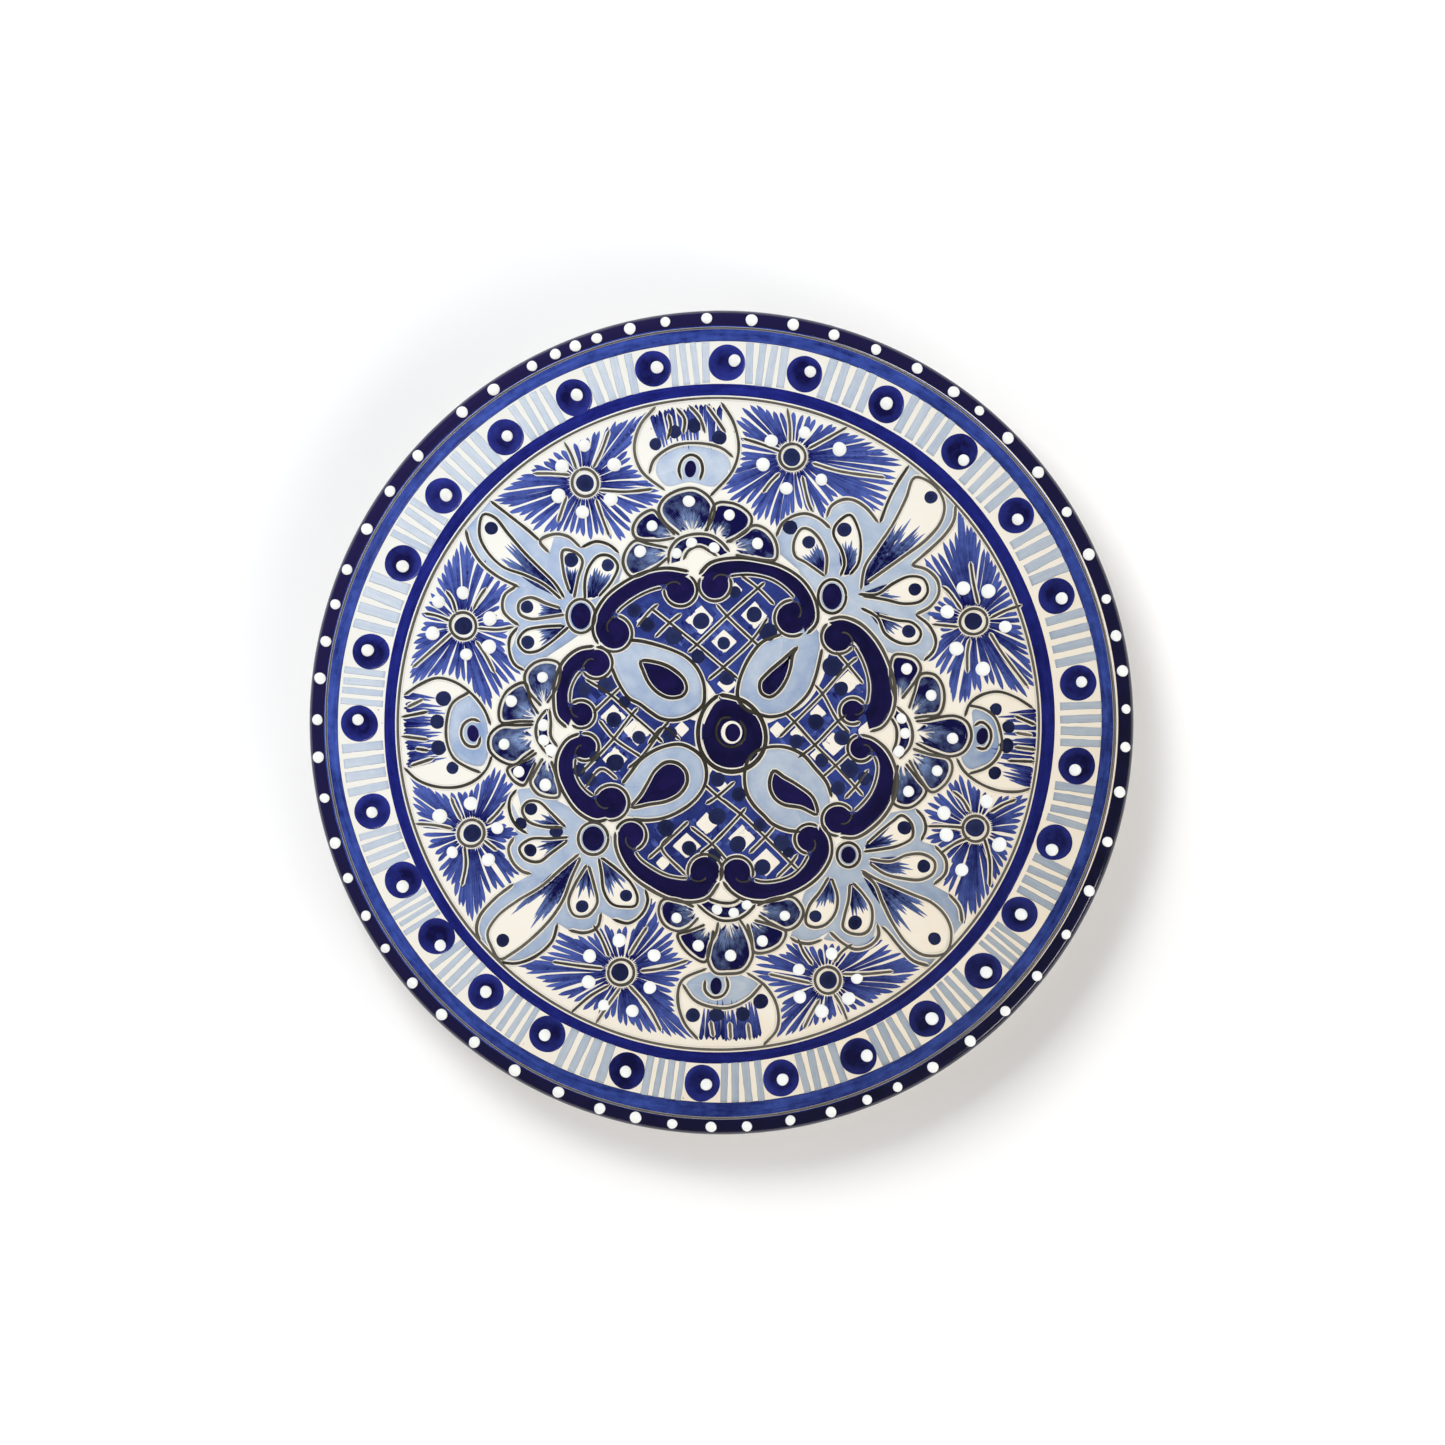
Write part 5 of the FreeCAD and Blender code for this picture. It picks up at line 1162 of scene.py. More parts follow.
def makeFans():
    layers = Layers()
    fills, drops, hairs = [], [], []
    for fan in fans.values():
        for petal, eye in zip(fan["petals"], fan["eyes"]):
            outline = smooth(petal, 72)
            closed = smooth(petal, 72, True)
            middle = closed.mean(0)
            layers.pipe(outline, fanStyle["line"], fanStyle["bareEdge"])
            base = (outline[0] + outline[-1]) / 2
            inwards = middle - outline
            edge = outline + inwards * (fanStyle["rim"] / np.maximum(np.hypot(*inwards.T), 2))[:, None]
            reach = np.hypot(*(edge - base).T)
            far = np.clip((reach / reach.max() - 0.18) / 0.5, 0, 1)
            ragged = fanStyle["ragged"] * rng.uniform(size=72) * (np.arange(72) % 2)
            solid = fanStyle["solid"] + ragged + 0.06 * rng.uniform(size=72)
            inner = edge + (base - edge) * (solid * far + 0.02)[:, None]
            flipped = np.cross(outline[-1] - outline[0], middle - outline[0]) > 0
            sides = (inner, edge) if flipped else (edge, inner)
            fills.append(fringe(*sides, 0.04, coats["paint"], rng.uniform()))
            if flipped:
                fills[-1]["values"][:, 0] = 1 - fills[-1]["values"][:, 0]
            for share in np.linspace(0.1, 0.9, fanStyle["hairs"]):
                tip = edge[int(share * 71)]
                start = tip + (base - tip) * rng.uniform(0.3, 0.4)
                end = tip + (base - tip) * rng.uniform(0.62, 0.92)
                width = np.linspace(rng.uniform(*fanStyle["hairWidth"]), 0.25, 8)
                hairs.append(laidLine(np.linspace(start, end, 8), width, 0.03, flatSection,
                                      coats["paint"]))
            drops.append(bead(eye, rng.uniform(*fieldBead["radius"]), fieldBead["height"], 0.1))
        for arc in fan["arcs"]:
            layers.pipeThrough(arc, fanStyle["arcLine"])
        low, high = smooth(fan["arcs"][0], 40), smooth(fan["arcs"][1], 40)
        lowSide, highSide = low + (high - low) * 0.24, high + (low - high) * 0.2
        fills.append(between(lowSide, highSide, 0.03, coats["paint"] - 0.03, 0.3))
        fills[-1]["values"][:, 0] = 0.1
        drops += [bead(place, rng.uniform(*fieldBead["radius"]), fieldBead["height"], 0.05)
                  for place in fan["beads"]]
    joinShells("fan_petal_paint", fills, paints["feather"], "dark_cobalt", "fan_petals")
    joinShells("fan_brush_hairs", hairs, paints["hair"], "dark_cobalt")
    joinShells("fan_bead_drops", drops, paints["whiteSlip"], "white_bead", "fan_beads")
    layers.make("fan", "fan_trails")


cups = {
    "north": {
        "sides": [
            [(-24, 115.5), (-29.8, 108.4), (-31.9, 100.2), (-29.3, 92.1), (-20.6, 84.9)],
            [(-0.1, 117), (4.5, 109.4), (6.3, 100.2), (4, 92.1), (-4.2, 82.8)]],
        "wash": [
            (-24, 91.5), (-23, 96), (-17, 100), (-8.4, 101), (1.5, 97.8), (3.4, 93.5), (-2, 86.6),
            (-12, 88), (-20, 86.6)],
        "lens": [(-26.5, 91), (-24.7, 96.1), (-17.5, 101.2), (-8.4, 102.2), (0, 100.4), (4.4, 97)],
        "eye": (-11.4, 92.8),
        "eyeLoop": [
            (-14.6, 88.8), (-15.6, 92.5), (-14, 96.6), (-11, 98), (-8, 96.4), (-6.9, 92.6), (-8, 88.6)],
        "dots": [(-24.2, 101.8), (-17.3, 106.4), (-10, 108.6), (-0.9, 104.2)],
        "rays": [
            [(-19.5, 113), (-18.5, 108), (-19.8, 103.4)], [(-16.5, 115), (-13.5, 111), (-14, 105.5)],
            [(-12, 116), (-8, 111.5), (-6, 105.8)], [(-5.5, 116), (-1.5, 110.5), (1.6, 106)]],
        "span": (103, 90)},
    "south": {
        "sides": [
            [(-5.3, -90), (-14.5, -94.5), (-16, -101.7), (-13.5, -109.9), (-8.4, -116)],
            [(9.1, -91.5), (16.2, -96.6), (20.3, -103.8), (20.3, -111.9), (15.2, -118)]],
        "wash": [
            (-13, -96), (-8.6, -101.4), (-3, -103), (3, -103.2), (9.4, -100), (13.4, -96), (8, -92.8),
            (0, -91.4), (-7, -92)],
        "lens": [(-14.4, -95.6), (-10, -101.5), (-4, -104), (3, -104.3), (10, -101), (15, -95.6)],
        "eye": (-2, -96.4),
        "eyeLoop": [(1.6, -92.8), (2.4, -96.4), (0.6, -99.8), (-3, -100.6), (-6, -98), (-6, -94)],
        "dots": [(-10.5, -107), (-1.8, -106.8), (7.8, -106.7), (14.4, -102)],
        "rays": [[(-4, -109), (-3, -115)], [(3, -109.4), (3.4, -116)], [(9.6, -109.6), (10.4, -116)]],
        "span": (-94, -83)},
    "west": {
        "sides": [
            [(-116, 10), (-110, 14), (-104, 16.3), (-98, 15), (-92, 11), (-87, 5), (-84.5, -1)],
            [
                (-116, -16.5), (-111, -21), (-104, -23.5), (-96, -23.5), (-90, -21), (-86, -17),
                (-84, -12)]],
        "wash": [
            (-91.8, 9.6), (-97.4, 6.5), (-99.4, 0.6), (-99.4, -7), (-97, -12.4), (-92, -15.4),
            (-87.6, -15.8), (-85.4, -11), (-86.4, 1)],
        "lens": [
            (-92, 11.4), (-98.5, 7), (-100.5, 1), (-100.5, -7), (-98, -13), (-93, -16.4), (-88, -18.4)],
        "eye": (-91, -4),
        "eyeLoop": [
            (-88.2, 0.2), (-91.4, 1.2), (-94.6, -1), (-95.2, -5), (-93, -8.4), (-89.4, -8.6),
            (-88.2, -5)],
        "dots": [(-101.7, 8.7), (-103.9, 0.3), (-103.5, -9.3), (-98.4, -16.6)],
        "rays": [
            [(-115, 5.5), (-109, 8.5)], [(-117, 2), (-107, 4)], [(-117, -5), (-107, -6.3)],
            [(-112, -9.5), (-107, -10.3)], [(-114, -16), (-105, -13)]],
        "span": (175, 188)},
    "east": {
        "sides": [
            [(89, 2), (91, 7), (95, 10), (101, 11.3), (107, 9.5), (112, 6.5), (114, 5)],
            [(86, -13), (89, -18), (95, -22.5), (102, -25), (109, -25.2), (113, -24)]],
        "wash": [
            (92, 4.6), (96, 3.8), (99.4, 1), (101, -4), (101.3, -9), (99, -13.6), (95, -16),
            (90.6, -17), (87.8, -12.6), (91.4, -7), (92, -1)],
        "lens": [
            (90, 6.4), (96, 5), (100, 2), (102, -3), (102.5, -9), (100, -14), (96, -17), (90.4, -18.8)],
        "eye": (95.4, -5),
        "eyeLoop": [(92.4, -1.4), (95, 0.2), (98, -2), (98.6, -6), (96.4, -9.6), (93, -9)],
        "dots": [(100.4, 4.8), (105, -1.6), (104.2, -8.5), (100, -18.4)],
        "rays": [
            [(107, 2.5), (115, -1)], [(107.4, -3.7), (113.8, -4.8)], [(107, -9), (115, -10)],
            [(104.5, -14), (114.5, -14.3)]],
        "span": (2, -11.5)}}


# Strokes run in from just inside the field trail; reach is how far
cupStyle = {"line": 1.15, "eye": (2.1, 3.1), "strokes": 22, "strokeReach": (7, 15.5),
            "strokeWidths": (1.6, 1.3, 0.3)}


def makeCups():
    layers = Layers()
    washes, eyes, dots, strokes = [], [], [], []
    for cup in cups.values():
        wash = smooth(cup["wash"], 64, True)
        washes.append(blob(wash, 0.03, coats["wash"], rounds=6))
        eye = oval(cup["eye"], cupStyle["eye"], 32, rng.uniform(-0.2, 0.2))
        eyes.append(blob(eye, 0.05, coats["paint"]))
        for line in cup["sides"] + cup["rays"] + [cup["lens"], cup["eyeLoop"]]:
            layers.pipeThrough(line, cupStyle["line"])
        dots += [bead(place, rng.uniform(*slateDot["radius"]), slateDot["height"], coats["wash"])
                 for place in cup["dots"]]
        first, last = cup["span"]
        heart = np.array(cup["eye"], float)
        count = cupStyle["strokes"]
        for angle in np.linspace(first, last, count) + rng.uniform(-0.3, 0.3, count):
            start = atAngle(rng.uniform(115.0, 116.6), angle)
            reach = rng.uniform(*cupStyle["strokeReach"])
            end = start * (1 - reach / np.hypot(*start)) + (heart - start) * 0.05
            path, width = np.linspace(start, end, 12), taper(*cupStyle["strokeWidths"])
            strokes.append(laidLine(path, width, 0.03, flatSection, coats["wash"] + 0.02))
    joinShells("cup_wash_coats", washes, paints["wash"], "pale_blue_wash", "cup_washes")
    joinShells("cup_brush_strokes", strokes, paints["burst"], "mid_blue")
    joinShells("cup_eye_fills", eyes, paints["navy"], "dark_cobalt", "cup_eyes")
    layers.make("cup", "cup_trails")
    return dots


bursts = [
    {
        "centre": (26, 97.3),
        "beads": [(18.2, 103), (30.3, 106), (43.1, 99.9), (36.5, 88.9), (23.7, 85.7), (15.2, 94.4)],
        "rays": [
            [(22, 99), (14, 102), (7.5, 104)], [(25, 102), (25, 108), (24, 115)],
            [(21.5, 91.5), (18, 88), (15, 84)], [(29.5, 90.5), (32, 80), (33.5, 77)],
            [(31.5, 100), (38, 103.5), (46, 108)], [(33, 95), (43, 92), (60, 89.5)]],
        "cell": [
            (6, 112.5), (7.5, 100), (5.5, 93), (-1, 84.5), (4, 81.5), (11, 79), (12, 74.5), (20, 71),
            (25, 76.5), (32, 77.5), (38.5, 74.5), (41, 81), (47, 82.8), (53, 81), (58.5, 75.5),
            (63, 86.5), (66.5, 93.5), (60, 99.3), (50, 104.7), (40, 108.9), (30, 112), (20, 114.3),
            (10, 115.6)]},
    {
        "centre": (-50, 87.7),
        "beads": [
            (-50.2, 101.2), (-39.2, 94.3), (-40.7, 81.7), (-50.9, 77), (-59.7, 82.9), (-58.3, 93.6)],
        "rays": [
            [(-53, 92.5), (-55, 98), (-57.5, 102.5)], [(-55, 90.5), (-62, 91), (-69, 91)],
            [(-56.5, 83), (-58, 79), (-60, 73)], [(-46, 82), (-44, 76), (-41, 68)],
            [(-47, 93), (-44, 99), (-41, 107)], [(-45, 85), (-35, 84.5), (-25, 85.5)]],
        "cell": [
            (-26, 114), (-31.5, 108), (-33.5, 100), (-31, 91), (-22, 84.5), (-21.5, 80.5), (-26, 79),
            (-32, 75.5), (-33.5, 70), (-36, 66.5), (-42, 67), (-46, 68), (-51.5, 67), (-56, 70),
            (-66, 68.5), (-71, 72.5), (-80, 79.5), (-83.5, 80.5), (-77, 86.7), (-70, 92.5), (-60, 99.3),
            (-50, 104.7), (-40, 108.9), (-32, 111.5)]},
    {
        "centre": (-94.6, 35.4),
        "beads": [
            (-103.5, 44.2), (-94.6, 47.5), (-84.9, 38), (-85.2, 27.8), (-93.5, 24.9), (-105.7, 32.6)],
        "rays": [
            [(-97, 40), (-98.5, 45), (-101, 48.5)], [(-91, 41), (-89, 45), (-86, 49.5)],
            [(-99, 37), (-104, 39), (-109, 40)], [(-89.5, 34.5), (-82, 34), (-76, 35)],
            [(-90, 30), (-86, 24), (-83, 18)], [(-98.5, 33), (-104, 28), (-113, 20)]],
        "cell": [
            (-93, 67), (-90, 62), (-84, 56), (-77, 50.5), (-81.5, 45), (-81.5, 39), (-76.5, 35),
            (-79, 30), (-79, 24), (-73, 18), (-77, 14.5), (-82.5, 9), (-85, 5), (-89, 9.5), (-94, 14),
            (-100, 17), (-106, 17.5), (-113, 14.5), (-115, 15), (-113, 26), (-108.5, 41),
            (-102.5, 54.3), (-94.5, 67.3)]},
    {
        "centre": (-91.5, -40.5),
        "beads": [(-91.8, -29.7), (-103, -34.3), (-82.1, -38.7), (-85.4, -50.2), (-98.5, -47.5)],
        "rays": [
            [(-95, -36), (-98, -30), (-99, -27)], [(-98, -39), (-105, -37.5), (-112, -37)],
            [(-94, -45), (-93.5, -52), (-95, -60)], [(-87, -43), (-82, -47)],
            [(-86, -37), (-82, -33), (-79, -29)]],
        "cell": [
            (-114.5, -19.5), (-109, -23.5), (-102, -25.5), (-94, -25), (-88, -22), (-83, -17),
            (-79, -16.5), (-78.5, -20), (-75, -24.5), (-77, -26), (-79.5, -31), (-78, -37.5),
            (-74, -41), (-79, -44), (-79, -51), (-74, -56), (-78, -59.5), (-87, -66), (-90.5, -72),
            (-96, -65), (-102.5, -54.3), (-108, -42.3), (-112, -30.2)]},
    {
        "centre": (-36.7, -91.4),
        "beads": [
            (-37.4, -79.8), (-24.7, -85.2), (-26.3, -97), (-32.6, -105.5), (-43, -103.4),
            (-48.6, -94.9), (-48.3, -85.5)],
        "rays": [
            [(-41, -86), (-44, -79), (-47, -74)], [(-34, -85.5), (-30, -79), (-27, -74.5)],
            [(-30, -91), (-22, -90), (-12, -87)], [(-43, -90), (-52, -89), (-62, -87.5)],
            [(-41, -96), (-48, -100), (-55, -106)], [(-37, -97), (-42, -104), (-46, -110)],
            [(-34, -96), (-27, -104), (-22, -113)]],
        "cell": [
            (-62, -76), (-56, -78.5), (-49, -79), (-43.5, -73.5), (-40, -75), (-33, -75.5), (-27, -71),
            (-25, -63), (-21, -66), (-23.5, -72), (-17.5, -78.5), (-16.5, -83), (-10.5, -88.5),
            (-15.5, -93), (-18, -101.5), (-15, -110), (-10, -115.5), (-20, -114.5), (-32, -111.5),
            (-45, -107), (-57, -101), (-68, -94), (-76, -87.6), (-70, -88), (-64, -83)]},
    {
        "centre": (38.8, -94.2),
        "beads": [
            (40.3, -84.7), (49.5, -93.6), (46.5, -100.9), (36.6, -105.5), (28.6, -100.4),
            (28.3, -90.5)],
        "rays": [
            [(33.5, -89), (30, -84), (28, -79)], [(41, -88), (44, -84), (48, -81)],
            [(33, -95.5), (26, -94), (17, -92)], [(44, -92), (52, -92), (63, -91)],
            [(41, -99), (44, -104), (46, -109)], [(36, -101), (33, -106), (30, -112)]],
        "cell": [
            (11, -91), (17, -95), (21, -102), (22, -111), (18, -115), (28, -112.6), (40, -108.9),
            (52, -103.7), (62, -98), (72, -91), (75.5, -88), (67, -85.5), (60, -79.5), (57.5, -77),
            (53.5, -83.5), (46, -84), (40.5, -80), (36, -82), (29, -82), (24.5, -79.5), (23, -84),
            (16, -86), (12.5, -85.5)]},
    {
        "centre": (93, -38.8),
        "beads": [(97, -28.9), (101.6, -44.6), (87.9, -53.9), (82.3, -41.1), (81.4, -33.1)],
        "rays": [
            [(91, -33), (88, -28), (84.5, -25)], [(98, -33), (103, -30), (108, -28)],
            [(89, -38.5), (82, -38), (75, -38)], [(91, -42), (86, -44), (80, -48)],
            [(96, -42), (98, -50), (98, -60)]],
        "cell": [
            (83, -22), (86, -19.5), (89, -20.5), (95, -25), (103, -27.5), (112, -26.5), (110.5, -35),
            (106, -47), (99, -60.5), (91, -72), (88.5, -74), (87.5, -68), (83.5, -62.5), (80, -60),
            (84.5, -54), (82, -48), (77.5, -44), (75, -43), (77, -38), (74.5, -32), (77.5, -27),
            (82.5, -24)]},
    {
        "centre": (92.2, 37),
        "beads": [(88.5, 49.2), (97.6, 48), (103.7, 35), (95.7, 19.6), (86, 27), (82.7, 40.5)],
        "rays": [
            [(94, 43), (92, 52), (91, 59)], [(88, 41), (83, 48), (80.5, 50)],
            [(98, 38), (104, 41), (110, 43)], [(87, 35), (82, 35.5), (77, 36)],
            [(91, 31), (90, 26), (90, 18)], [(98, 33), (103, 25), (112, 13)]],
        "cell": [
            (87, 78.5), (88, 72), (84.5, 67), (78.5, 62), (74, 58.5), (80, 54), (82, 48.5), (77.5, 42),
            (75, 40), (80, 35), (80, 29), (75.5, 23), (79.5, 19.5), (84, 14), (84, 6), (88, 5),
            (92, 10.5), (98, 13), (106, 12), (112, 9.5), (115, 13), (113.3, 25), (109, 40), (102, 55),
            (93, 69), (89, 74)]}]
# Gap: from the ring's line to the strokes; reach: share of the way to the cell's edge
burst = {"ring": 4.7, "gap": 0.9, "eye": 3.3, "spacing": 2.75, "reach": (0.94, 1.05), "strokeWidth": 1.75,
         "startWidth": 0.8, "bead": 2.4, "ringLine": 1.15, "rayLine": 1.05}


def makeBursts():
    layers = Layers()
    strokes, eyes, drops = [], [], []
    steps = np.linspace(0, 1, 14)
    ring, gap = burst["ring"], burst["gap"]
    share = burst["startWidth"] / burst["strokeWidth"]
    widths = np.interp(steps, [0, 0.25, 0.6, 0.85, 1], [share, 0.66, 1, 0.95, 0.5])
    for flower in bursts:
        centre = np.array(flower["centre"], float)
        tips = spaced(flower["cell"], burst["spacing"], 0.35)
        for tip in tips:
            away = tip - centre
            far = np.hypot(*away)
            reach = far * rng.uniform(*burst["reach"])
            side = np.array([-away[1], away[0]]) / far
            bend = rng.uniform(-0.035, 0.035) * far
            outwards = away / far * (ring + gap + (reach - ring - gap) * steps[:, None])
            path = centre + outwards + side * (bend * np.sin(np.pi * steps))[:, None]
            width = burst["strokeWidth"] * rng.uniform(0.82, 1.12) * widths
            strokes.append(laidLine(path, width, 0.03, flatSection, coats["wash"]))
        loop = roundOutline(centre, ring, 40, 0.03, rng.uniform(0.95, 1.08), rng.uniform(0, 3))
        layers.pipe(np.concatenate([loop, loop[:2]]), burst["ringLine"], 0.4)
        eyes.append(bead(centre + rng.uniform(-0.4, 0.4, 2), burst["eye"], 0.25, coats["wash"]))
        for ray in flower["rays"]:
            layers.pipeThrough(ray, burst["rayLine"])
        drops += [bead(place, burst["bead"] * rng.uniform(0.9, 1.12), 0.8, 0.0)
                  for place in flower["beads"]]
    joinShells("burst_brush_strokes", strokes, paints["burst"], "mid_blue", "starburst_strokes")
    joinShells("burst_eye_dabs", eyes, paints["slate"], "dark_cobalt", "starburst_eyes")
    joinShells("burst_bead_drops", drops, paints["whiteSlip"], "white_bead", "starburst_beads")
    layers.make("burst", "starburst_rays", "starburst_rings")


clusters = [
    {
        "root": (40.5, 46.2), "oval": (3.6, 4.8), "heart": (56, 58),
        "contour": [
            [(20, 68), (22, 72.5), (26, 75.5), (31, 76.5), (36, 74.5), (40, 71)],
            [(38.5, 75), (40, 79), (44, 81.5), (48, 81.5), (53, 78.5), (57.5, 73)],
            [(58, 73), (61, 81), (64, 87), (68.5, 94)],
            [(85.5, 79.5), (85, 74), (82, 69), (77, 64), (69.5, 57.5)],
            [(69.5, 57.5), (75, 56), (79, 52), (79.5, 47), (76.5, 42.5), (71, 39.5)],
            [(71, 39.5), (76, 35.5), (78.5, 30), (77.5, 26), (74, 22.5)]],
        "close": [(60, 26), (50, 36), (40, 40), (34, 46), (28, 56), (21, 62)],
        "leaves": [
            [
                (51, 48.5), (52.5, 57), (57, 64), (63, 73), (67.5, 82), (70.5, 89.5), (75, 88.5),
                (79.5, 84.5), (81.5, 79), (80, 73), (75, 67), (67, 61), (60, 56), (53, 51)],
            [
                (38, 53.5), (31, 58.5), (27, 61), (26.5, 66), (29.5, 71), (32.5, 70.5), (36, 67),
                (38.5, 61), (38.2, 54)],
            [
                (43.5, 53.5), (45, 58), (44, 63), (41, 69), (42, 72.5), (47, 76), (50, 71), (51, 65),
                (50, 58), (47, 54)],
            [
                (50, 47), (57, 47), (63, 51), (69, 53.5), (74, 52.5), (75.5, 48), (73, 44.5),
                (67, 43.5), (60, 45), (51.5, 46.4)],
            [
                (51, 42), (57, 38.5), (60, 32.5), (66, 29), (71.5, 29.5), (73, 33), (70, 36.5),
                (64, 37.5), (57, 39.4)]],
        "dots": [(76.5, 82.3), (32, 66), (45, 70.6), (70.8, 48.7), (68.6, 33.4), (25, 71.5)]},
    {
        "root": (-51.5, 39), "oval": (3.7, 4.8), "heart": (-66, 50),
        "contour": [
            [(-37.5, 62), (-41, 65), (-46, 66.3), (-51.5, 64)],
            [(-51.5, 64), (-56, 68), (-61, 69), (-66.5, 66.5), (-63, 62)],
            [(-66.5, 66.5), (-71, 70.5), (-78, 76), (-84.5, 81)],
            [(-93.5, 70.5), (-92, 65), (-88, 58.5), (-82, 53.5), (-74, 49.5)],
            [(-75, 50), (-79.5, 46.5), (-80, 41), (-77, 37.5), (-74, 35.5)],
            [(-74.5, 35), (-77.5, 31), (-77.5, 25), (-75.5, 21), (-72, 19)]],
        "close": [(-64, 24), (-55, 30), (-47, 36), (-43, 42), (-38, 50), (-36, 57)],
        "leaves": [
            [
                (-57.5, 45.5), (-61, 51), (-67, 57), (-72, 62), (-78, 69), (-83, 75), (-87, 76),
                (-88.5, 69), (-86, 63), (-80, 57), (-72, 54), (-65, 50.5), (-58.5, 45)],
            [(-54, 45.6), (-52.5, 53), (-51, 59.5), (-54, 62.5), (-58, 63), (-57.8, 55), (-55.8, 48)],
            [
                (-50, 45), (-50, 52), (-48.5, 57), (-45, 61), (-41, 61), (-38, 57.5), (-40, 52),
                (-45, 46)],
            [
                (-59, 42), (-64, 43.5), (-70, 45.8), (-74, 44), (-74, 40), (-70, 38), (-64, 38.5),
                (-57.5, 39.5)],
            [
                (-58, 35.5), (-66, 35), (-72, 33.5), (-74.5, 29.5), (-72, 26), (-68, 26), (-63, 29),
                (-56, 35)]],
        "dots": [(-84.2, 71), (-55, 59.6), (-41.6, 57.6), (-71.2, 42.3), (-71, 29.4)]},
    {
        "root": (-47, -42.5), "oval": (4, 4.5), "heart": (-64, -56),
        "contour": [
            [(-71, -40.8), (-75, -38), (-77.5, -33), (-77.5, -28), (-75, -24.5)],
            [(-69.5, -55.5), (-73, -54.5), (-76.5, -51), (-78, -46), (-76, -42)],
            [(-88, -80), (-89.5, -76), (-88.5, -71), (-83, -64.5), (-76, -59)],
            [(-81, -87.5), (-75, -88), (-68, -85.5), (-62, -80), (-60, -73.5)],
            [(-56, -76), (-50, -77), (-45.5, -75), (-44, -69.5)],
            [(-40, -72), (-34, -73.5), (-29, -70), (-27, -65), (-28, -61)]],
        "close": [(-34, -52), (-40, -42), (-46, -36), (-54, -32), (-63, -27), (-70, -24)],
        "leaves": [
            [
                (-52, -48), (-58, -53), (-66, -60), (-75, -65.5), (-82, -71), (-85.5, -77), (-84, -82),
                (-81, -86.5), (-76, -84), (-70, -79.5), (-63, -72.5), (-58, -65), (-55, -57),
                (-51.5, -49.5)],
            [
                (-57, -38.4), (-59, -36.5), (-63, -32.5), (-67, -29), (-71, -29), (-73, -32),
                (-71, -36), (-66, -38), (-58, -38.6)],
            [
                (-56, -42), (-63, -42.5), (-70, -42.7), (-74, -46), (-72, -49.8), (-67, -51),
                (-62, -47.5), (-56.4, -43.4)],
            [
                (-49.3, -52), (-54, -60), (-56, -66), (-54, -70.5), (-50, -71), (-48, -70),
                (-45.5, -66), (-46.5, -60), (-48.6, -52.4)],
            [
                (-45, -49.5), (-44, -55), (-43, -62), (-40, -66.5), (-35, -67.5), (-31.5, -67),
                (-30.8, -64), (-33, -59), (-38, -54), (-44, -49.4)]],
        "dots": [
            (-80, -79.6), (-69.8, -31.7), (-70, -46.8), (-51, -67.3), (-34.9, -63.4), (-73.5, -37),
            (-60.5, -40)]},
    {
        "root": (46.5, -48.5), "oval": (2.7, 3.1), "heart": (60, -57),
        "contour": [
            [(71, -31.5), (74, -35), (74.8, -39), (73, -43.5)],
            [(78, -45), (82, -50), (82, -55), (77.5, -59.5)], [(83, -62.5), (87, -67.5), (88, -73.5)],
            [(76, -89), (70, -87), (65, -82), (61, -77), (58.5, -74.5)],
            [(57, -73.5), (57.5, -78), (54.5, -81.5), (49, -83), (44, -80.5), (39.5, -76.5)],
            [(37, -79.5), (32, -81), (27, -80), (25, -78.5)]],
        "close": [(28, -72), (30, -63), (37, -54), (43, -44), (52, -41), (62, -33)],
        "leaves": [
            [
                (51, -54), (56, -57), (63, -60), (70, -63), (77, -66), (82, -71), (84, -77), (82, -84),
                (74, -85), (68, -81), (63, -74), (59, -66), (56, -59), (51.4, -55)],
            [
                (53, -44.5), (58, -40), (63, -36), (66, -34), (69.5, -37), (69.8, -42), (65, -45),
                (58, -46.5), (52, -47.3)],
            [
                (54, -50), (62, -50.8), (68, -48.5), (74, -48.3), (78, -51), (77.5, -55), (73, -57.5),
                (66, -57), (60, -55.5), (54, -51.6)],
            [
                (39.3, -56.5), (36, -62), (32, -67.5), (31, -73.5), (34, -75), (38, -74), (41.5, -70),
                (42.5, -64), (40.4, -57)],
            [
                (47, -59), (46.5, -65), (45, -71), (44.5, -75), (47, -77), (52, -77.3), (54.5, -75),
                (55, -68), (52, -63), (48, -58.6)]],
        "dots": [(77.8, -79), (67, -38.5), (74, -52.6), (34.4, -71), (48.9, -73.3)]}]


# A cluster's first leaf is the big one; pool: how much of a leaf its solid root takes
leafStyle = {"line": 1.15, "bareEdge": 0.45, "contourLine": 1.2, "ringLine": 1.15, "bigPool": 0.44,
             "smallPool": 0.36, "bigStroke": (1.1, 2.6, 0.35), "smallStroke": (0.95, 1.7, 0.3)}


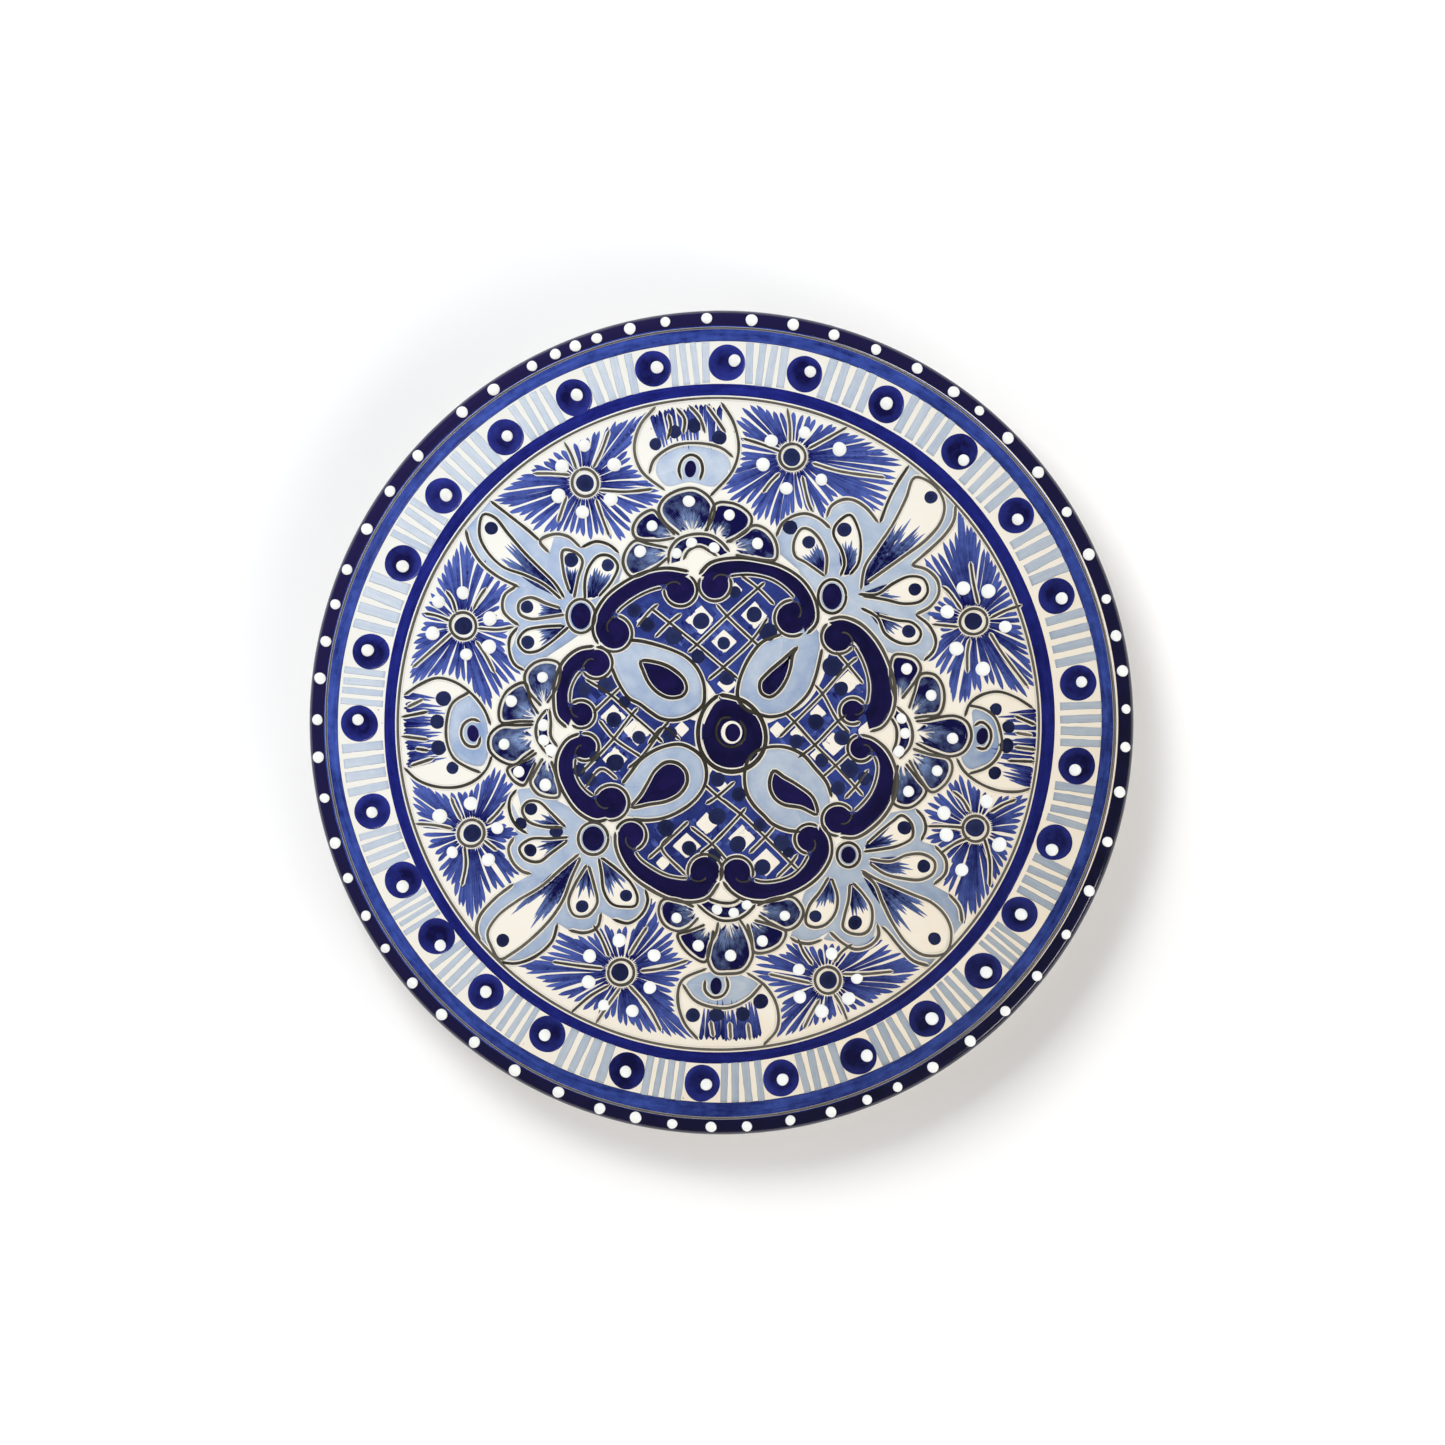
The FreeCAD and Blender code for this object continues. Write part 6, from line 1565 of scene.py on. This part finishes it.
def makeClusters(dots):
    layers = Layers()
    washes, whites, hairs, roots = [], [], [], []
    for cluster in clusters:
        heart = np.array(cluster["heart"], float)
        around = np.array([p for line in cluster["contour"] for p in line] + cluster["close"], float)
        turn = np.arctan2(*(around - heart).T[::-1])
        ring = around[np.argsort(turn)]
        washes.append(blob(spaced(ring.tolist(), 1.5), 0.02, coats["wash"] - 0.02, middle=heart,
                           rounds=14))
        for i, points in enumerate(cluster["leaves"]):
            big = i == 0
            count = 84 if big else 56
            outline = smooth(points, count)
            middle = outline.mean(0)
            root = (outline[0] + outline[-1]) / 2
            layers.pipe(outline, leafStyle["line"], leafStyle["bareEdge"])
            whites.append(blob(smooth(points, count, True), 0.02, coats["white"], rounds=8))
            far = np.hypot(*(outline - root).T)
            length = far.max()
            pool = outline[far < leafStyle["bigPool" if big else "smallPool"] * length]
            pool = pool.mean(0) + (pool - pool.mean(0)) * rng.uniform(0.8, 0.96, len(pool))[:, None]
            hairs.append(blob(pool, 0.03, coats["paint"] - 0.02, 0.2))
            hairs[-1]["values"][:, 0] *= 0.6
            for tip in outline[3:-3:2 if big else 3]:
                inside = tip + (middle - tip) * 0.22
                reach = np.hypot(*(inside - root))
                if reach < 0.22 * length:
                    continue
                end = root + (inside - root) * min(0.95, rng.uniform(0.42, 0.7) * length / reach)
                path = np.linspace(root + (inside - root) * 0.05, end, 12)
                width = taper(*leafStyle["bigStroke" if big else "smallStroke"])
                hairs.append(laidLine(path, width, 0.03, flatSection, coats["paint"]))
        roots.append(blob(oval(cluster["root"], cluster["oval"]), 0.05, coats["paint"]))
        width, height = cluster["oval"]
        loop = oval(cluster["root"], (width + 1.5, height + 1.4), 40)
        layers.pipe(np.concatenate([loop, loop[:2]]), leafStyle["ringLine"], 0.4)
        for line in cluster["contour"]:
            layers.pipeThrough(line, leafStyle["contourLine"])
        dots += [bead(place, rng.uniform(*slateDot["radius"]), slateDot["height"], coats["wash"] + 0.02)
                 for place in cluster["dots"]]
    joinShells("leaf_wash_coats", washes, paints["wash"], "pale_blue_wash")
    joinShells("leaf_white_grounds", whites, paints["glazeWhite"], "white_glaze")
    joinShells("leaf_brush_hairs", hairs, paints["hair"], "mid_blue", "leaf_fills")
    joinShells("leaf_root_fills", roots, paints["navy"], "dark_cobalt", "leaf_roots")
    joinShells("slate_dot_drops", dots, paints["slate"], "slate_dot", "slate_dots")
    layers.make("leaf", "leaf_trails")


makeLattices()
makeScrolls()
makePetals()
makeCentre()
print("centre of the field made")
makeFans()
makeBursts()
makeClusters(makeCups())
print("outer field made")


# Floor, lights and camera

# Metres; the frame's width is measured at the height of the border
studio = {"distance": 2.6, "frameWidth": 0.5261, "frameHeight": 0.0286, "shiftX": 0.00036,
          "floorSize": 6.0, "floorTone": 0.97, "sky": 0.16}


def softbox(name, place, size, power, colour, glints=False):
    # Only a small light that glints shows in the glaze, so the painting stays clear from the side
    data = bpy.data.lights.new(name, "AREA")
    data.shape = "RECTANGLE"
    data.size, data.size_y = size
    data.energy = power
    data.color = colour
    light = bpy.data.objects.new(name, data)
    light.visible_glossy = glints
    light.location = place
    light.rotation_euler = Vector(-np.array(place)).to_track_quat("-Z", "Y").to_euler()
    bpy.context.collection.objects.link(light)


def makeStudio():
    half = studio["floorSize"] / 2
    mesh = bpy.data.meshes.new("studio_floor")
    corners = [(-half, -half, 0), (half, -half, 0), (half, half, 0), (-half, half, 0)]
    mesh.from_pydata(corners, [], [(0, 1, 2, 3)])
    floor = bpy.data.objects.new("studio_floor", mesh)
    paper = bpy.data.materials.new("paleFloor")
    paper.use_nodes = True
    inputs = paper.node_tree.nodes["Principled BSDF"].inputs
    inputs["Base Color"].default_value = (*[studio["floorTone"]] * 3, 1)
    inputs["Roughness"].default_value = 0.9
    mesh.materials.append(paper)
    bpy.context.collection.objects.link(floor)
    world = bpy.data.worlds.new("studio")
    world.use_nodes = True
    background = world.node_tree.nodes["Background"]
    background.inputs["Color"].default_value = (0.93, 0.96, 1.0, 1)
    background.inputs["Strength"].default_value = studio["sky"]
    bpy.context.scene.world = world
    cool, warm = (0.97, 0.985, 1.0), (1.0, 0.97, 0.93)
    softbox("key", (-0.68, 0.95, 1.62), (0.8, 0.8), 21, cool)
    softbox("north", (-0.5, 2.2, 1.2), (2.4, 0.7), 24, cool)
    softbox("west", (-2.2, 0.2, 1.15), (2.2, 0.7), 18, cool)
    softbox("east", (2.2, -0.1, 1.15), (2.2, 0.7), 14, warm)
    softbox("south", (0.3, -2.2, 1.15), (2.2, 0.7), 21, warm)
    softbox("haze", (1.2, -1.15, 1.7), (1.0, 1.0), 6, (1.0, 0.93, 0.9))
    softbox("streak", (1.81, -1.364, 1.057), (1.2, 0.2), 16, (1.0, 0.98, 0.95), True)
    camera = bpy.data.cameras.new("camera")
    camera.sensor_width = 36.0
    reach = studio["distance"] - studio["frameHeight"]
    camera.lens = camera.sensor_width * reach / studio["frameWidth"]
    camera.clip_end = 20
    eye = bpy.data.objects.new("camera", camera)
    eye.location = (studio["shiftX"], 0, studio["distance"])
    bpy.context.collection.objects.link(eye)
    bpy.context.scene.camera = eye
    bpy.context.scene.view_settings.view_transform = "Standard"


makeStudio()
